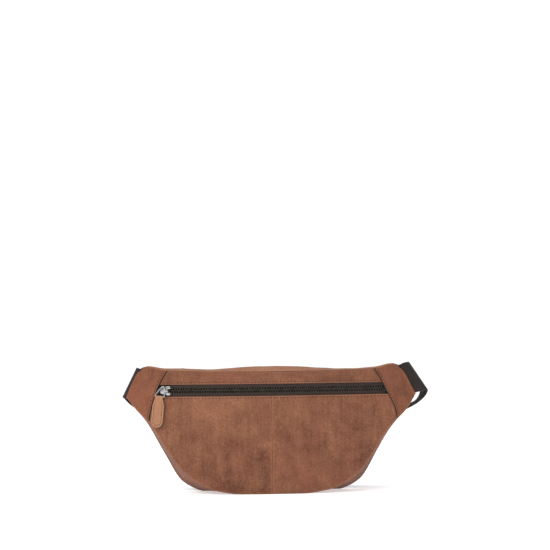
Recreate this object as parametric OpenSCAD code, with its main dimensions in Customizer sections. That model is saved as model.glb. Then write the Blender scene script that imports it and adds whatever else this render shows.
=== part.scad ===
// Waist pack: a leather pouch with a front zip pocket, a main zip along the top
// and a webbing belt that is buckled behind it.
// X is to the viewer's right, Y points back, Z is up. The pack stands on its flat bottom at Z = 0.

/* [Body] */
// Width over the two wing tips
body_w = 346; // [340:1:352]
// Height of the front face at the middle
front_h = 142.7; // [140:0.1:144]
// Radius of the front face seen from above
front_r = 450; // [440:1:470]
// Depth from the front face to the back face at the middle
body_d = 61; // [58:1:66]
// How far the front face swells forward
belly = 3.8; // [2:0.1:4]
// Thickness of the leather
leather_t = 1.6; // [1.2:0.1:1.8]
// Thickness of the lining cloth
lining_t = 0.8; // [0.6:0.1:1]
// Thickness of the back padding
foam_t = 4; // [3:0.5:5]
// Depth of the front pocket
pocket_d = 17; // [16:0.5:19]

/* [Zips] */
// Height of the front zip's centre line
front_zip_z = 121.4; // [120:0.1:122]
// Width of the zip windows cut in the leather
window_w = 14; // [13:0.5:15]
// Pitch of the teeth in one row
tooth_pitch = 3; // [2.6:0.1:3.4]
// Height of the main zip's leather edge
main_zip_z = 142.5; // [142:0.5:143]
// Place of the main zip's centre line, front to back
main_zip_y = 9.5; // [9:0.5:10]
// Half length of the main zip
main_zip_half = 112; // [110:1:114]
// Place of the front slider along the zip, measured as X
front_slider_x = -125; // [-125:1:110]
// Place of the main slider along the zip
main_slider_x = -105; // [-105:1:105]

/* [Pulls] */
// Diameter of the ring's wire
wire_d = 1.5; // [1.2:0.1:1.6]
// Length of a leather tab below its ring
tab_l = 36; // [30:1:38]
// Width of a leather tab
tab_w = 13.5; // [12:0.5:14]
// Thickness of a leather tab, two layers
tab_t = 2.4; // [2:0.1:2.6]

/* [Belt] */
// Width of the webbing
web_w = 40; // [38:1:40]
// Thickness of the webbing
web_t = 1.6; // [1.4:0.1:1.8]
// Distance of the belt's middle behind the pack's origin
belt_y = 54; // [54:1:57]
// Thickness of the buckle
buckle_t = 12; // [11.6:0.2:12.4]
// X of the buckle's mouth
mouth_x = -30; // [-31:1:-29]

/* [Hidden] */
$fn = 48;

leather = "#9c6450";
lining = "#4a4038";
tape = "#3a2d26";
metal = "#c8c8cc";
gunmetal = "#4c4a4a";
webbing = "#4a3328";
plastic = "#2a2320";

tip_x = body_w / 2;
gap = 0.2;                                  // between two sewn pieces
front_y = -34;                              // front face at the middle
arc_y = front_y + front_r;                  // the front face's axis
back_y = front_y + body_d;
kx = body_w / 346;                          // outlines stretch with the width

// Outlines of the right half as [x, z]
front_low = [[0, 0], [35, 0], [65, 4], [86, 13], [103, 25], [121, 48], [146.2, 85],
    [160, 98.5], [173, 113]];
back_low = [[0, 0], [82, 0], [94, 4], [108, 13], [129, 47], [150, 84], [173, 112]];
front_high = [[0, front_h], [124, 145], [140, 148.5], [155, 149.3]];
crest = [[0, 149], [85, 145.8], [124, 147], [147, 150.5], [155, 149.5]];
back_high = [[0, main_zip_z], [112, main_zip_z], [130, 147], [150, 150], [156, 148],
    [165, 133], [173, 114.5]];
wing_seam = [[123.6, 145], [131.7, 131], [137, 119], [142, 104], [146.2, 85]];
seam_corner = wing_seam[4];
wing_tip = [173, 113];
wing_top = [155, 149.3];
kink_front_x = 99;                          // where the bottom gusset meets the side ones
kink_back_x = 108;
gusset_end_x = 168;
wing_fade = 31;                             // the wing flattens over this width
wing_edge_t = 5.9;                          // both leathers and the webbing at the wing's end

// Cubic through the points p that never overshoots them
function rise(p, i) = (p[i + 1][1] - p[i][1]) / (p[i + 1][0] - p[i][0]);
function tangent(p, i) =
    i == 0 ? (p[0][0] == 0 ? 0 : rise(p, 0))
    : i == len(p) - 1 ? rise(p, i - 1)
    : let (a = rise(p, i - 1), b = rise(p, i)) a * b <= 0 ? 0 : 2 * a * b / (a + b);
function span(p, x, i = 0) = i >= len(p) - 2 || x <= p[i + 1][0] ? i : span(p, x, i + 1);
function curve(p, x0) =
    let (x = min(max(abs(x0) / kx, p[0][0]), p[len(p) - 1][0]), i = span(p, x),
        h = p[i + 1][0] - p[i][0], t = (x - p[i][0]) / h, t2 = t * t, t3 = t2 * t)
    (2 * t3 - 3 * t2 + 1) * p[i][1] + (t3 - 2 * t2 + t) * h * tangent(p, i)
    + (3 * t2 - 2 * t3) * p[i + 1][1] + (t3 - t2) * h * tangent(p, i + 1);
function smooth(t) = let (u = min(1, max(0, t))) u * u * (3 - 2 * u);
function mix(a, b, t) = a * (1 - t) + b * t;
function bezier(a, b, c, t) = (1 - t) * (1 - t) * a + 2 * t * (1 - t) * b + t * t * c;

// Depth of the outer faces over any x, z
function arc_front(x) = arc_y - sqrt(front_r * front_r - x * x);
function face_profile(z) =
    z > 130 ? 8 * pow((z - 130) / 13, 1.4)
    : z > 112 ? 0
    : let (t = (112 - z) / 112) belly * t * t * (9.53 * t - 8.47);
function back_face(x, z) =
    back_y - 5 * pow(max(0, z - 75) / 71, 1.6) - pow(max(0, 25 - z) / 25, 2)
    - 9 * pow(abs(x) / tip_x, 4);
function front_face(x, z) =
    let (pillow = arc_front(x) + face_profile(z) * (1 - pow(x / 150, 2)),
        from_end = (tip_x - abs(x)) * 0.904 + (111 - z) * 0.428,
        s = pow(max(0, min(1, 1 - from_end / wing_fade)), 2))
    mix(pillow, back_face(x, z) - wing_edge_t, s);

// A closed slab between two grids of points. The first grid lies on the side that
// columns x rows points to.
module slab(first, second) {
    cols = len(first);
    rows = len(first[0]);
    k = cols * rows;
    points = [for (g = [first, second]) for (c = g) for (p = c) p];
    near = [for (i = [0:cols - 2], j = [0:rows - 2])
        each let (a = i * rows + j, b = a + rows) [[a, a + 1, b + 1], [a, b + 1, b]]];
    far = [for (f = near) [f[0] + k, f[2] + k, f[1] + k]];
    rim = concat([for (i = [0:cols - 2]) i * rows],
        [for (j = [0:rows - 2]) (cols - 1) * rows + j],
        [for (i = [cols - 1:-1:1]) i * rows + rows - 1],
        [for (j = [rows - 1:-1:1]) j]);
    sides = [for (e = [0:len(rim) - 1])
        each let (a = rim[e], b = rim[(e + 1) % len(rim)]) [[a, b, b + k], [a, b + k, a + k]]];
    polyhedron(points, concat(near, far, sides));
}

// Columns of [x, z] from x0 to x1, between the heights lo(x) and hi(x)
function columns(x0, x1, n, rows, lo, hi) =
    [for (i = [0:n]) let (x = mix(x0, x1, i / n)) [for (j = [0:rows]) [x, mix(lo(x), hi(x), j / rows)]]];
// The same grid laid on a face at a depth behind it
function laid(grid, face, depth) = [for (c = grid) [for (p = c) [p[0], face(p[0], p[1]) + depth, p[1]]]];
module front_slab(grid, depth, t) {
    slab(laid(grid, function(x, z) front_face(x, z), depth),
        laid(grid, function(x, z) front_face(x, z), depth + t));
}
module back_slab(grid, depth, t) {
    slab(laid(grid, function(x, z) back_face(x, z), -depth - t),
        laid(grid, function(x, z) back_face(x, z), -depth));
}

/* ---- leather shell ---- */

window_lo = front_zip_z - window_w / 2;
window_hi = front_zip_z + window_w / 2;

module front_panel(side) {
    x_in = gap / 2;
    x_out = 145.6 * kx;
    lo = function(x) curve(front_low, x);
    hi = function(x) min(window_lo, curve(wing_seam, max(abs(x), 123.6 * kx)) - gap);
    grid = side > 0 ? columns(x_in, x_out, 26, 9, lo, hi) : columns(-x_out, -x_in, 26, 9, lo, hi);
    color(leather) front_slab(grid, 0, leather_t);
}
module front_panel_left() front_panel(-1);
module front_panel_right() front_panel(1);

module front_top_band() {
    x_out = 132.2 * kx;
    grid = columns(-x_out, x_out, 44, 4, function(x) window_hi,
        function(x) min(curve(front_high, x), curve(wing_seam, max(abs(x), 123.6 * kx)) - gap));
    color(leather) front_slab(grid, 0, leather_t);
}

// The wing as a patch between its seam, its top, its end and its lower edge
function wing_point(u, v) =
    let (low_x = mix(seam_corner[0], wing_tip[0], u),
        low = [low_x, curve(front_low, low_x * kx)],
        top = bezier([123.6, 145], [146, 151], wing_top, u),
        seam_z = mix(seam_corner[1], 145, v),
        flip = [for (i = [4:-1:0]) [wing_seam[i][1] / kx, wing_seam[i][0]]],
        seam = [curve(flip, seam_z) + gap, seam_z],
        end = bezier(wing_tip, [166, 134], wing_top, v))
    mix(low, top, v) + mix(seam, end, u)
    - mix(mix(seam_corner, wing_tip, u), mix([123.6, 145], wing_top, u), v);
module wing(side) {
    n = 14;
    grid = [for (i = [0:n]) [for (j = [0:n])
        let (p = wing_point(side > 0 ? i / n : 1 - i / n, j / n)) [side * p[0] * kx, p[1]]]];
    color(leather) front_slab(grid, 0, leather_t);
}
module wing_left() wing(-1);
module wing_right() wing(1);

module back_panel() {
    x_out = 172 * kx;
    grid = columns(-x_out, x_out, 52, 12, function(x) curve(back_low, x),
        function(x) curve(back_high, x));
    color(leather) back_slab(grid, 0, leather_t);
}

// A strip from the front seam to the back seam. Each station of its length is [side, front x, back x]
function unit(v) = v / norm(v);
function strip_edge(low, x, side) =
    let (d = 0.5, z = curve(low, x), run = unit([2 * d, curve(low, x + d) - curve(low, x - d)]))
    [[side * x, z], [side * (x - run[1] * leather_t), z + run[0] * leather_t]];
module gusset(stations) {
    across = 3;
    sheet = function(layer) [for (s = stations)
        let (f = strip_edge(front_low, s[1] * kx, s[0])[layer],
            b = strip_edge(back_low, s[2] * kx, s[0])[layer],
            yf = front_face(f[0], f[1]) + leather_t + gap,
            yb = back_face(b[0], b[1]) - leather_t - gap)
        [for (j = [0:across]) let (t = j / across)
            [mix(f[0], b[0], t), mix(yf, yb, t), mix(f[1], b[1], t)]]];
    color(leather) slab(sheet(1), sheet(0));
}
module bottom_gusset() {
    n = 40;
    gusset([for (i = [0:n]) let (t = 2 * i / n - 1)
        [t < 0 ? -1 : 1, abs(t) * kink_front_x, abs(t) * kink_back_x]]);
}
module side_gusset(side) {
    n = 22;
    gusset([for (i = [0:n]) let (t = side > 0 ? i / n : 1 - i / n)
        [side, mix(kink_front_x + gap, gusset_end_x, t), mix(kink_back_x + gap, gusset_end_x, t)]]);
}
module side_gusset_left() side_gusset(-1);
module side_gusset_right() side_gusset(1);

// The top, split by the main zip's window, which closes past the zip's ends
function window_edge(x, side) =
    main_zip_y + side * (gap / 2 + (window_w / 2 - 1) * (1 - smooth((abs(x) - main_zip_half - 1) / 6)));
crest_share = 0.55;                         // the top is highest this far towards the zip
module top_strip_front() {
    n = 48;
    rows = 8;
    x_out = 149 * kx;
    strip = function(drop) [for (i = [0:n]) let (x = mix(-x_out, x_out, i / n),
            z0 = curve(front_high, x), y0 = front_face(x, z0) + leather_t + gap,
            y1 = window_edge(x, -1))
        [for (j = [0:rows]) let (u = j / rows, rise = sin(90 * min(1, u / crest_share)),
            fall = smooth((u - crest_share) / (1 - crest_share)))
            [x, mix(y0, y1, u),
                mix(mix(z0, curve(crest, x), rise), curve(back_high, x), fall) - drop]]];
    color(leather) slab(strip(0), strip(leather_t));
}
module top_strip_back() {
    n = 40;
    x_out = 149 * kx;
    strip = function(drop) [for (i = [0:n]) let (x = mix(-x_out, x_out, i / n),
            z = curve(back_high, x), y0 = window_edge(x, 1),
            y1 = back_face(x, z) - leather_t - gap)
        [for (j = [0:2]) [x, mix(y0, y1, j / 2), z - drop]]];
    color(leather) slab(strip(0), strip(leather_t));
}

/* ---- inside ---- */

module pocket_divider() {
    x_out = 122 * kx;
    grid = columns(-x_out, x_out, 24, 8, function(x) curve(front_low, x) + 8, function(x) 137);
    color(lining) front_slab(grid, pocket_d, lining_t);
}
module back_foam() {
    x_out = 134 * kx;
    grid = columns(-x_out, x_out, 24, 6, function(x) curve(back_low, x) + 7, function(x) 136);
    color("#55514c") back_slab(grid, leather_t + gap, foam_t);
}
module back_lining() {
    x_out = 134 * kx;
    grid = columns(-x_out, x_out, 24, 6, function(x) curve(back_low, x) + 7, function(x) 136);
    color(lining) back_slab(grid, leather_t + foam_t + 2 * gap, lining_t);
}

/* ---- zips: heights w are measured outward from the leather's outer face ---- */

tape_w = [-3.1, -2.3];
tooth_w = [-3.8, -1.6];
tooth_reach = 3;                            // half width of the closed chain
tooth_x = 1.2;
slider_l = 13;
slider_half = 5.3;
top_plate = [-1, 0.4];
bottom_plate = [-5.8, -4.4];
ring_w = 2.8;                               // height of the ring's plane
zip_open_end = 2;                           // the chain starts this far right of the slider's centre

function on_arc(x) = asin(x / front_r);
// A frame on the front face over x: local X along the face, -Y outward, Z from the zip's centre
module on_front(x) translate([0, arc_y, 0]) rotate([0, 0, on_arc(x)])
    translate([0, -front_r, front_zip_z]) children();
// The same frame on the top, with local -Z pointing back
module on_top(x) translate([x, main_zip_y, main_zip_z]) rotate([-90, 0, 0]) mirror([0, 0, 1]) children();

module bent_band(x0, x1, w, z0, z1) translate([0, arc_y, 0])
    rotate([0, 0, 270 + on_arc(x0)])
        rotate_extrude(angle = on_arc(x1) - on_arc(x0), $fn = 360)
            translate([front_r + w[0], front_zip_z + z0]) square([w[1] - w[0], z1 - z0]);
module flat_band(x0, x1, w, y0, y1)
    translate([x0, main_zip_y + y0, main_zip_z + w[0]]) cube([x1 - x0, y1 - y0, w[1] - w[0]]);
module tooth(side) translate([-tooth_x / 2, -tooth_w[1], side > 0 ? -0.9 : -tooth_reach])
    cube([tooth_x, tooth_w[1] - tooth_w[0], tooth_reach + 0.9]);
// A metal stop clamped round both tapes, its outer face at height w
stop_w = -1.3;
hidden_stop_w = -2.1;                       // under the wing
module stop_block(w) translate([-1.2, -w, -2.9]) cube([2.4, 2.6, 5.8]);

front_zip_x0 = -136;
front_zip_x1 = 137;
front_teeth_end = 134;
tape_reach = 9.8;                           // the tape's far edge, under the leather
module front_zip_tape_upper() color(tape)
    bent_band(front_zip_x0, front_zip_x1, tape_w, tooth_reach + 0.1, tape_reach);
module front_zip_tape_lower() color(tape)
    bent_band(front_zip_x0, front_zip_x1, tape_w, -tape_reach, -tooth_reach - 0.1);
front_teeth_x0 = front_slider_x + zip_open_end;
front_teeth_n = floor((front_teeth_end - front_teeth_x0) / tooth_pitch) + 1;
module front_teeth(side) color(gunmetal)
    for (i = [0:front_teeth_n - 1])
        on_front(front_teeth_x0 + (i + (side > 0 ? 0 : 0.5)) * tooth_pitch) tooth(side);
module front_zip_teeth_upper() front_teeth(1);
module front_zip_teeth_lower() front_teeth(-1);
module front_zip_stops() color(gunmetal) {
    on_front(front_slider_x - 9) stop_block(stop_w);
    on_front(front_zip_x1 - 1.3) stop_block(hidden_stop_w);
}

module main_zip_tape_front() color(tape)
    flat_band(-main_zip_half - 4, main_zip_half + 4, tape_w, -8.3, -tooth_reach - 0.1);
module main_zip_tape_back() color(tape)
    flat_band(-main_zip_half - 4, main_zip_half + 4, tape_w, tooth_reach + 0.1, 8);
main_teeth_x0 = main_slider_x + zip_open_end;
main_teeth_n = floor((main_zip_half - 0.5 - main_teeth_x0) / tooth_pitch);
module main_teeth(side) color(gunmetal)
    for (i = [0:main_teeth_n - 1])
        on_top(main_teeth_x0 + (i + (side > 0 ? 0 : 0.5)) * tooth_pitch) tooth(side);
module main_zip_teeth_front() main_teeth(1);
module main_zip_teeth_back() main_teeth(-1);
module main_zip_stops() color(gunmetal) {
    on_top(main_slider_x - 9) stop_block(stop_w);
    on_top(main_zip_half + 2.5) stop_block(stop_w);
}

// Two plates joined by a post, flanges that hold the tape edges, and the bridge for the ring
module slider() {
    plate = function(w) [slider_l, w[1] - w[0], 2 * slider_half];
    flange = 1.1;
    bridge_half = 1.5;
    bridge_l = 9.2;
    bridge_top = ring_w + wire_d / 2 + 1.3;
    union() {
        for (w = [top_plate, bottom_plate])
            translate([-slider_l / 2, -w[1], -slider_half]) cube(plate(w));
        for (s = [-1, 1]) {
            z = s > 0 ? slider_half - flange : -slider_half;
            translate([-slider_l / 2, -top_plate[0] - 0.1, z]) cube([slider_l, 1, flange]);
            translate([-slider_l / 2, -bottom_plate[1] - 0.9, z]) cube([slider_l, 1, flange]);
        }
        translate([-5, -top_plate[0] - 0.1, -1.2])
            cube([2.4, top_plate[0] - bottom_plate[1] + 0.2, 2.4]);
        difference() {
            translate([-bridge_l / 2, -bridge_top, -bridge_half])
                cube([bridge_l, bridge_top - top_plate[1] + 0.1, 2 * bridge_half]);
            translate([-3, -ring_w - wire_d / 2 - 0.2, -bridge_half - 1])
                cube([6, ring_w + wire_d / 2 + 0.2 - top_plate[1], 2 * bridge_half + 2]);
        }
    }
}

// The ring in its own plane: one straight leg through the bridge, a slanted leg and a bar for
// the tab. Its rods meet in small knuckles, a little thicker than the wire.
bar_l = 12.5;
bar_slant = 5;
module rod(a, b) translate([a[0], -ring_w, a[1]]) rotate([0, atan2(b[0] - a[0], b[1] - a[1]), 0])
    cylinder(d = wire_d, h = norm(b - a));
module ring(drop, slant) {
    corners = [[0, 4.6], [-3, 4.6], [-7.5, 0], [-bar_l, -drop + bar_l * tan(slant)], [0, -drop]];
    union() for (i = [0:4]) {
        rod(corners[i], corners[(i + 1) % 5]);
        translate([corners[i][0], -ring_w, corners[i][1]]) sphere(d = wire_d + 0.2);
    }
}
// The tab hangs along -Z from the bar's middle: a loop round the bar and a tongue
module tab() {
    bore_r = wire_d / 2 + 0.1;
    loop_r = tab_t / 2;
    neck_w = 9;
    neck_l = 1.8;
    shoulder = 4.2;
    union() {
        difference() {
            union() {
                translate([-neck_w / 2, 0, 0]) rotate([0, 90, 0]) cylinder(r = loop_r, h = neck_w);
                translate([-neck_w / 2, -loop_r, -shoulder]) cube([neck_w, tab_t, shoulder]);
            }
            translate([-neck_w, 0, 0]) rotate([0, 90, 0]) cylinder(r = bore_r, h = 2 * neck_w);
        }
        translate([0, loop_r, 0]) rotate([90, 0, 0]) linear_extrude(tab_t) union() {
            translate([-tab_w / 2, -tab_l + tab_w / 2]) square([tab_w, tab_l - tab_w / 2 - shoulder]);
            translate([0, -tab_l + tab_w / 2]) circle(d = tab_w);
            polygon([[-neck_w / 2, -neck_l], [neck_w / 2, -neck_l],
                [tab_w / 2, -shoulder - 0.1], [-tab_w / 2, -shoulder - 0.1]]);
        }
    }
}

front_drop = 7.5;
main_drop = 15;
bar_rise = bar_l * tan(bar_slant) / 2;
module front_slider() color(metal) on_front(front_slider_x) slider();
module front_pull_ring() color(metal) on_front(front_slider_x) ring(front_drop, bar_slant);
module front_pull_tab() color("#c08a68") on_front(front_slider_x)
    translate([-bar_l / 2, -ring_w, -front_drop + bar_rise]) rotate([0, bar_slant, 0])
        rotate([-2, 0, 0]) tab();
module main_slider() color(metal) on_top(main_slider_x) slider();
module main_pull_ring() color(metal) on_top(main_slider_x) ring(main_drop, 0);
module main_pull_tab() color("#c08a68")
    translate([main_slider_x - bar_l / 2, main_zip_y + main_drop, main_zip_z + ring_w])
        rotate([6, 0, 0]) tab();

/* ---- belt ---- */

// Each webbing run is a ribbon between its near edge and its far edge
near_y = belt_y - web_w / 2;
far_y = belt_y + web_w / 2;
function route(p, i, t) =
    let (n = len(p), a = p[max(0, i - 1)], b = p[i], c = p[i + 1], d = p[min(n - 1, i + 2)])
    0.5 * ((2 * b) + (c - a) * t + (2 * a - 5 * b + 4 * c - d) * t * t
        + (3 * b - a - 3 * c + d) * t * t * t);
steps = 3;                                  // between two points of a route
function finely(p) = concat(
    [for (i = [0:len(p) - 2], k = [0:steps - 1]) route(p, i, k / steps)], [p[len(p) - 1]]);
module ribbon(near_edge, far_edge) {
    a = finely(near_edge);
    b = finely(far_edge);
    n = len(a);
    normal = [for (i = [0:n - 1])
        let (p = max(0, i - 1), q = min(n - 1, i + 1))
        unit(cross(a[q] + b[q] - a[p] - b[p], b[i] - a[i])) * web_t / 2];
    slab([for (i = [0:n - 1]) [a[i] + normal[i], b[i] + normal[i]]],
        [for (i = [0:n - 1]) [a[i] - normal[i], b[i] - normal[i]]]);
}
// A run whose edges lie straight behind each other, from [x, z] points
module level_ribbon(path) {
    ribbon([for (p = path) [p[0], near_y, p[1]]], [for (p = path) [p[0], far_y, p[1]]]);
}

buckle_z = buckle_t / 2 + 0.2;
bar_r = 2;
turn_r = bar_r + 0.25 + web_t / 2;
female_bar_x = mouth_x - 46;
male_bar_x = mouth_x + 20;
lie_z = 2.6;                                // the belt's lower layer where the keeper holds it
floor_z = 1.2;
slack_x = 40;                               // end of the run that stays put
tail_z = lie_z + web_t + 0.4;
tail_end_x = 58;

// Points of a half turn round a buckle bar, from below to above, on its left or right
function half_turn(x, side) = [for (a = [-90:45:90]) [x + side * turn_r * cos(a), buckle_z + turn_r * sin(a)]];

right_near = [[159.5, 13.2, 107.5], [172.9, 13.4, 113.8], [181, 13.4, 116.2], [188.3, 15, 117.6],
    [190.6, 19, 117], [189.5, 22.5, 112.5], [186, 24.6, 108], [180, 26.3, 103], [173, 27.4, 98.8],
    [165, 28.3, 94.6], [148, 30, 83.5], [127, 32, 58], [112, 33.5, 35],
    [103, near_y, 17], [96, near_y, 6], [86, near_y, floor_z], [78, near_y, floor_z + 0.2],
    [68, near_y, lie_z], [56, near_y, lie_z], [slack_x, near_y, lie_z]];
right_far = [[139.5, 11, 140], [153.2, 12.8, 147.2], [160.5, 12.4, 150.6], [166, 14.2, 151.8],
    [169.3, 25, 150.8], [175.5, 43, 144], [184.5, 56, 133.5], [188.5, 62.5, 118], [184, 65.4, 105.6],
    [174, 67.2, 99], [151, 70, 85], [127, 72, 58], [112, 73.5, 35],
    [103, far_y, 17], [96, far_y, 6], [86, far_y, floor_z], [78, far_y, floor_z + 0.2],
    [68, far_y, lie_z], [56, far_y, lie_z], [slack_x, far_y, lie_z]];
module webbing_right() color(webbing) ribbon(right_near, right_far);

left_near = [[-159.5, 13.2, 107.5], [-169.5, 13.5, 112.4], [-174.6, 13.8, 113.4], [-177.6, 17.2, 113.6],
    [-175.8, 21.2, 111.5], [-170, 25.8, 105], [-160, 28, 97], [-148, 29.6, 84.5], [-133, 31, 66],
    [-117, 32.5, 43], [-104, 33.5, 25], [-94, near_y, 14]];
left_far = [[-139.5, 11, 140.5], [-150.5, 12.6, 145.8], [-156, 12.4, 147.6], [-160, 15.6, 148.8],
    [-160.5, 28, 147], [-160.5, 46, 138], [-158, 61.4, 118], [-148.5, 69, 92], [-133, 71, 66],
    [-117, 72.5, 43], [-104, 73.5, 25], [-94, far_y, 14]];
left_loop = concat([[female_bar_x - 8, buckle_z + turn_r + 1]],
    [for (i = [4:-1:0]) half_turn(female_bar_x, 1)[i]], [[female_bar_x - 6, buckle_z - turn_r + 0.6],
    [female_bar_x - 13, 7.4], [female_bar_x - 20, 12.4], [female_bar_x - 26, 19]]);
module webbing_left() color(webbing) {
    edge = function(y) [for (p = left_loop) [p[0], y, p[1]]];
    ribbon(concat(left_near, edge(near_y)), concat(left_far, edge(far_y)));
}

loop_x = male_bar_x + 10;                   // where the slack run meets the loop round the bar
module webbing_slack() color(webbing)
    level_ribbon([[slack_x - gap, lie_z], [slack_x - 20, lie_z], [loop_x + gap, lie_z]]);
module webbing_tail() color(webbing)
    level_ribbon(concat([[loop_x, lie_z], [male_bar_x + 5, lie_z + 0.3]], half_turn(male_bar_x, -1),
        [[male_bar_x + 8, buckle_z + turn_r - 0.9], [male_bar_x + 16, tail_z + 0.8],
         [male_bar_x + 24, tail_z], [tail_end_x - 20, tail_z], [tail_end_x, tail_z]]));

keeper_x = 51;
keeper_l = 10;
module strap_keeper() color(plastic) {
    wall = 1.1;
    low = 0.3;
    high = tail_z + web_t / 2 + 0.4 + wall;
    inner = web_w / 2 + 0.8;
    difference() {
        translate([keeper_x - keeper_l / 2, belt_y - inner - wall, low])
            cube([keeper_l, 2 * (inner + wall), high - low]);
        translate([keeper_x - keeper_l, belt_y - inner, low + wall])
            cube([2 * keeper_l, 2 * inner, high - low - 2 * wall]);
    }
}

// Box with four round corners, from x0 to x1
module round_box(x0, x1, half, z0, z1, r) translate([0, belt_y, z0]) linear_extrude(z1 - z0) union() {
    translate([x0, -half + r]) square([x1 - x0, 2 * (half - r)]);
    translate([x0 + r, -half]) square([x1 - x0 - 2 * r, 2 * half]);
    for (x = [x0 + r, x1 - r], y = [-half + r, half - r]) translate([x, y]) circle(r = r);
}
module cross_bar(x) translate([x, belt_y - 22, buckle_z]) rotate([-90, 0, 0]) cylinder(r = bar_r, h = 44);
module rails(x0, x1) for (y = [-26, 21]) translate([x0, belt_y + y, buckle_z - 3]) cube([x1 - x0, 5, 6]);

shell_x = mouth_x - 34;
buckle_half = 26;
cavity_half = 19.5;
cavity_h = 8;
head_x = [mouth_x - 29, mouth_x - 20];      // the arms' latch heads
module buckle_female() color(plastic) union() {
    difference() {
        round_box(shell_x, mouth_x, buckle_half, 0.2, 0.2 + buckle_t, 4);
        translate([shell_x + 2, belt_y - cavity_half, buckle_z - cavity_h / 2])
            cube([mouth_x - shell_x, 2 * cavity_half, cavity_h]);
        translate([head_x[0] - 1, belt_y - buckle_half - 1, buckle_z - cavity_h / 2 + 0.5])
            cube([head_x[1] - head_x[0] + 2, 2 * buckle_half + 2, cavity_h - 1]);
    }
    rails(female_bar_x - 3, shell_x + 1);
    cross_bar(female_bar_x);
}
module buckle_male() color(plastic) union() {
    round_box(mouth_x + 0.5, mouth_x + 8, buckle_half, 0.2, 0.2 + buckle_t, 2.5);
    translate([mouth_x - 16, belt_y - 4, buckle_z - 2.2]) cube([17, 8, 4.4]);
    rails(mouth_x + 7, male_bar_x + 3);
    cross_bar(male_bar_x);
}
arm_y = 13;
// A springy arm with its latch head, on the side given
module arm(side) translate([0, belt_y, buckle_z - 3]) linear_extrude(6) scale([1, side])
    polygon([[mouth_x + 0.3, arm_y - 2], [mouth_x + 0.3, arm_y + 2], [head_x[1], arm_y + 1.8],
        [head_x[1], 23], [head_x[0] + 3, 22.4], [head_x[0], 18.5], [head_x[0], arm_y - 2]]);
module buckle_arm_front() color(plastic) arm(-1);
module buckle_arm_back() color(plastic) arm(1);

front_panel_left();
front_panel_right();
front_top_band();
wing_left();
wing_right();
back_panel();
bottom_gusset();
side_gusset_left();
side_gusset_right();
top_strip_front();
top_strip_back();
pocket_divider();
back_foam();
back_lining();
front_zip_tape_upper();
front_zip_tape_lower();
front_zip_teeth_upper();
front_zip_teeth_lower();
front_zip_stops();
main_zip_tape_front();
main_zip_tape_back();
main_zip_teeth_front();
main_zip_teeth_back();
main_zip_stops();
front_slider();
front_pull_ring();
front_pull_tab();
main_slider();
main_pull_ring();
main_pull_tab();
webbing_left();
webbing_right();
webbing_slack();
webbing_tail();
strap_keeper();
buckle_female();
buckle_male();
buckle_arm_front();
buckle_arm_back();
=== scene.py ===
"""The looks of a leather waist pack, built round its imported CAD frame.

The shape functions work in millimetres, as the design does, and add_mesh() turns them into metres.
"""
import itertools
import math

import bmesh
import bpy
import numpy as np
from mathutils import Matrix, Vector


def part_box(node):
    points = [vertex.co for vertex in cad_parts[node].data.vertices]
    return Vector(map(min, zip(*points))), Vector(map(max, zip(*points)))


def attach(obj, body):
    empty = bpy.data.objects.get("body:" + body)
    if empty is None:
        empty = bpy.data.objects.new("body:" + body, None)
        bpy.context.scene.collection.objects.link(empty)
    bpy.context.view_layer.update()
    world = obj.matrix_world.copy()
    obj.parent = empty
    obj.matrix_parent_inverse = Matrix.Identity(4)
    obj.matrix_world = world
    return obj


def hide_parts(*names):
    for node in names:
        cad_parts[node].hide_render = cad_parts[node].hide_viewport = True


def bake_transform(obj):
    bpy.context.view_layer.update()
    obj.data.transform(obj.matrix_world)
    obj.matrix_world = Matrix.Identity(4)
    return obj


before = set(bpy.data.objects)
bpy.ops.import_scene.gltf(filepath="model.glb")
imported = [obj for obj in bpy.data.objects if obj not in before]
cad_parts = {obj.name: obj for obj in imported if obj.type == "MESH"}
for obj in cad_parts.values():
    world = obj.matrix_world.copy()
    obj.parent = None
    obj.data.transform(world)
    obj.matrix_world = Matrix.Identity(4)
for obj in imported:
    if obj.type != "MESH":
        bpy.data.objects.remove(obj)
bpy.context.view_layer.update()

MM = 0.001
rng = np.random.default_rng(11)

# ---------------------------------------------------------------- the design's shapes, in millimetres

TIP_X = 173
GAP = 0.2
LEATHER = 1.6
FRONT_R = 450
FRONT_Y = -34
BACK_Y = 27
ARC_Y = FRONT_Y + FRONT_R
BELLY = 3.8
WING_FADE = 31
WING_EDGE = 5.9

FRONT_LOW = [(0, 0), (35, 0), (65, 4), (86, 13), (103, 25), (121, 48), (146.2, 85), (160, 98.5), (173, 113)]
BACK_LOW = [(0, 0), (82, 0), (94, 4), (108, 13), (129, 47), (150, 84), (173, 112)]
FRONT_HIGH = [(0, 142.7), (124, 145), (140, 148.5), (155, 149.3)]
CREST = [(0, 149), (85, 145.8), (124, 147), (147, 150.5), (155, 149.5)]
BACK_HIGH = [(0, 142.5), (112, 142.5), (130, 147), (150, 150), (156, 148), (165, 133), (173, 114.5)]
WING_SEAM = [(123.6, 145), (131.7, 131), (137, 119), (142, 104), (146.2, 85)]
WING_TIP = np.array([173, 113.0])
WING_TOP = np.array([155, 149.3])
KINK_FRONT, KINK_BACK, GUSSET_END = 99, 108, 168
ZIP_Z, WINDOW = 121.4, 14
WINDOW_LO, WINDOW_HI = ZIP_Z - WINDOW / 2, ZIP_Z + WINDOW / 2
MAIN_Z, MAIN_Y, MAIN_HALF = 142.5, 9.5, 112
CREST_SHARE = 0.55       # the top is highest this far towards the zip


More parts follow.
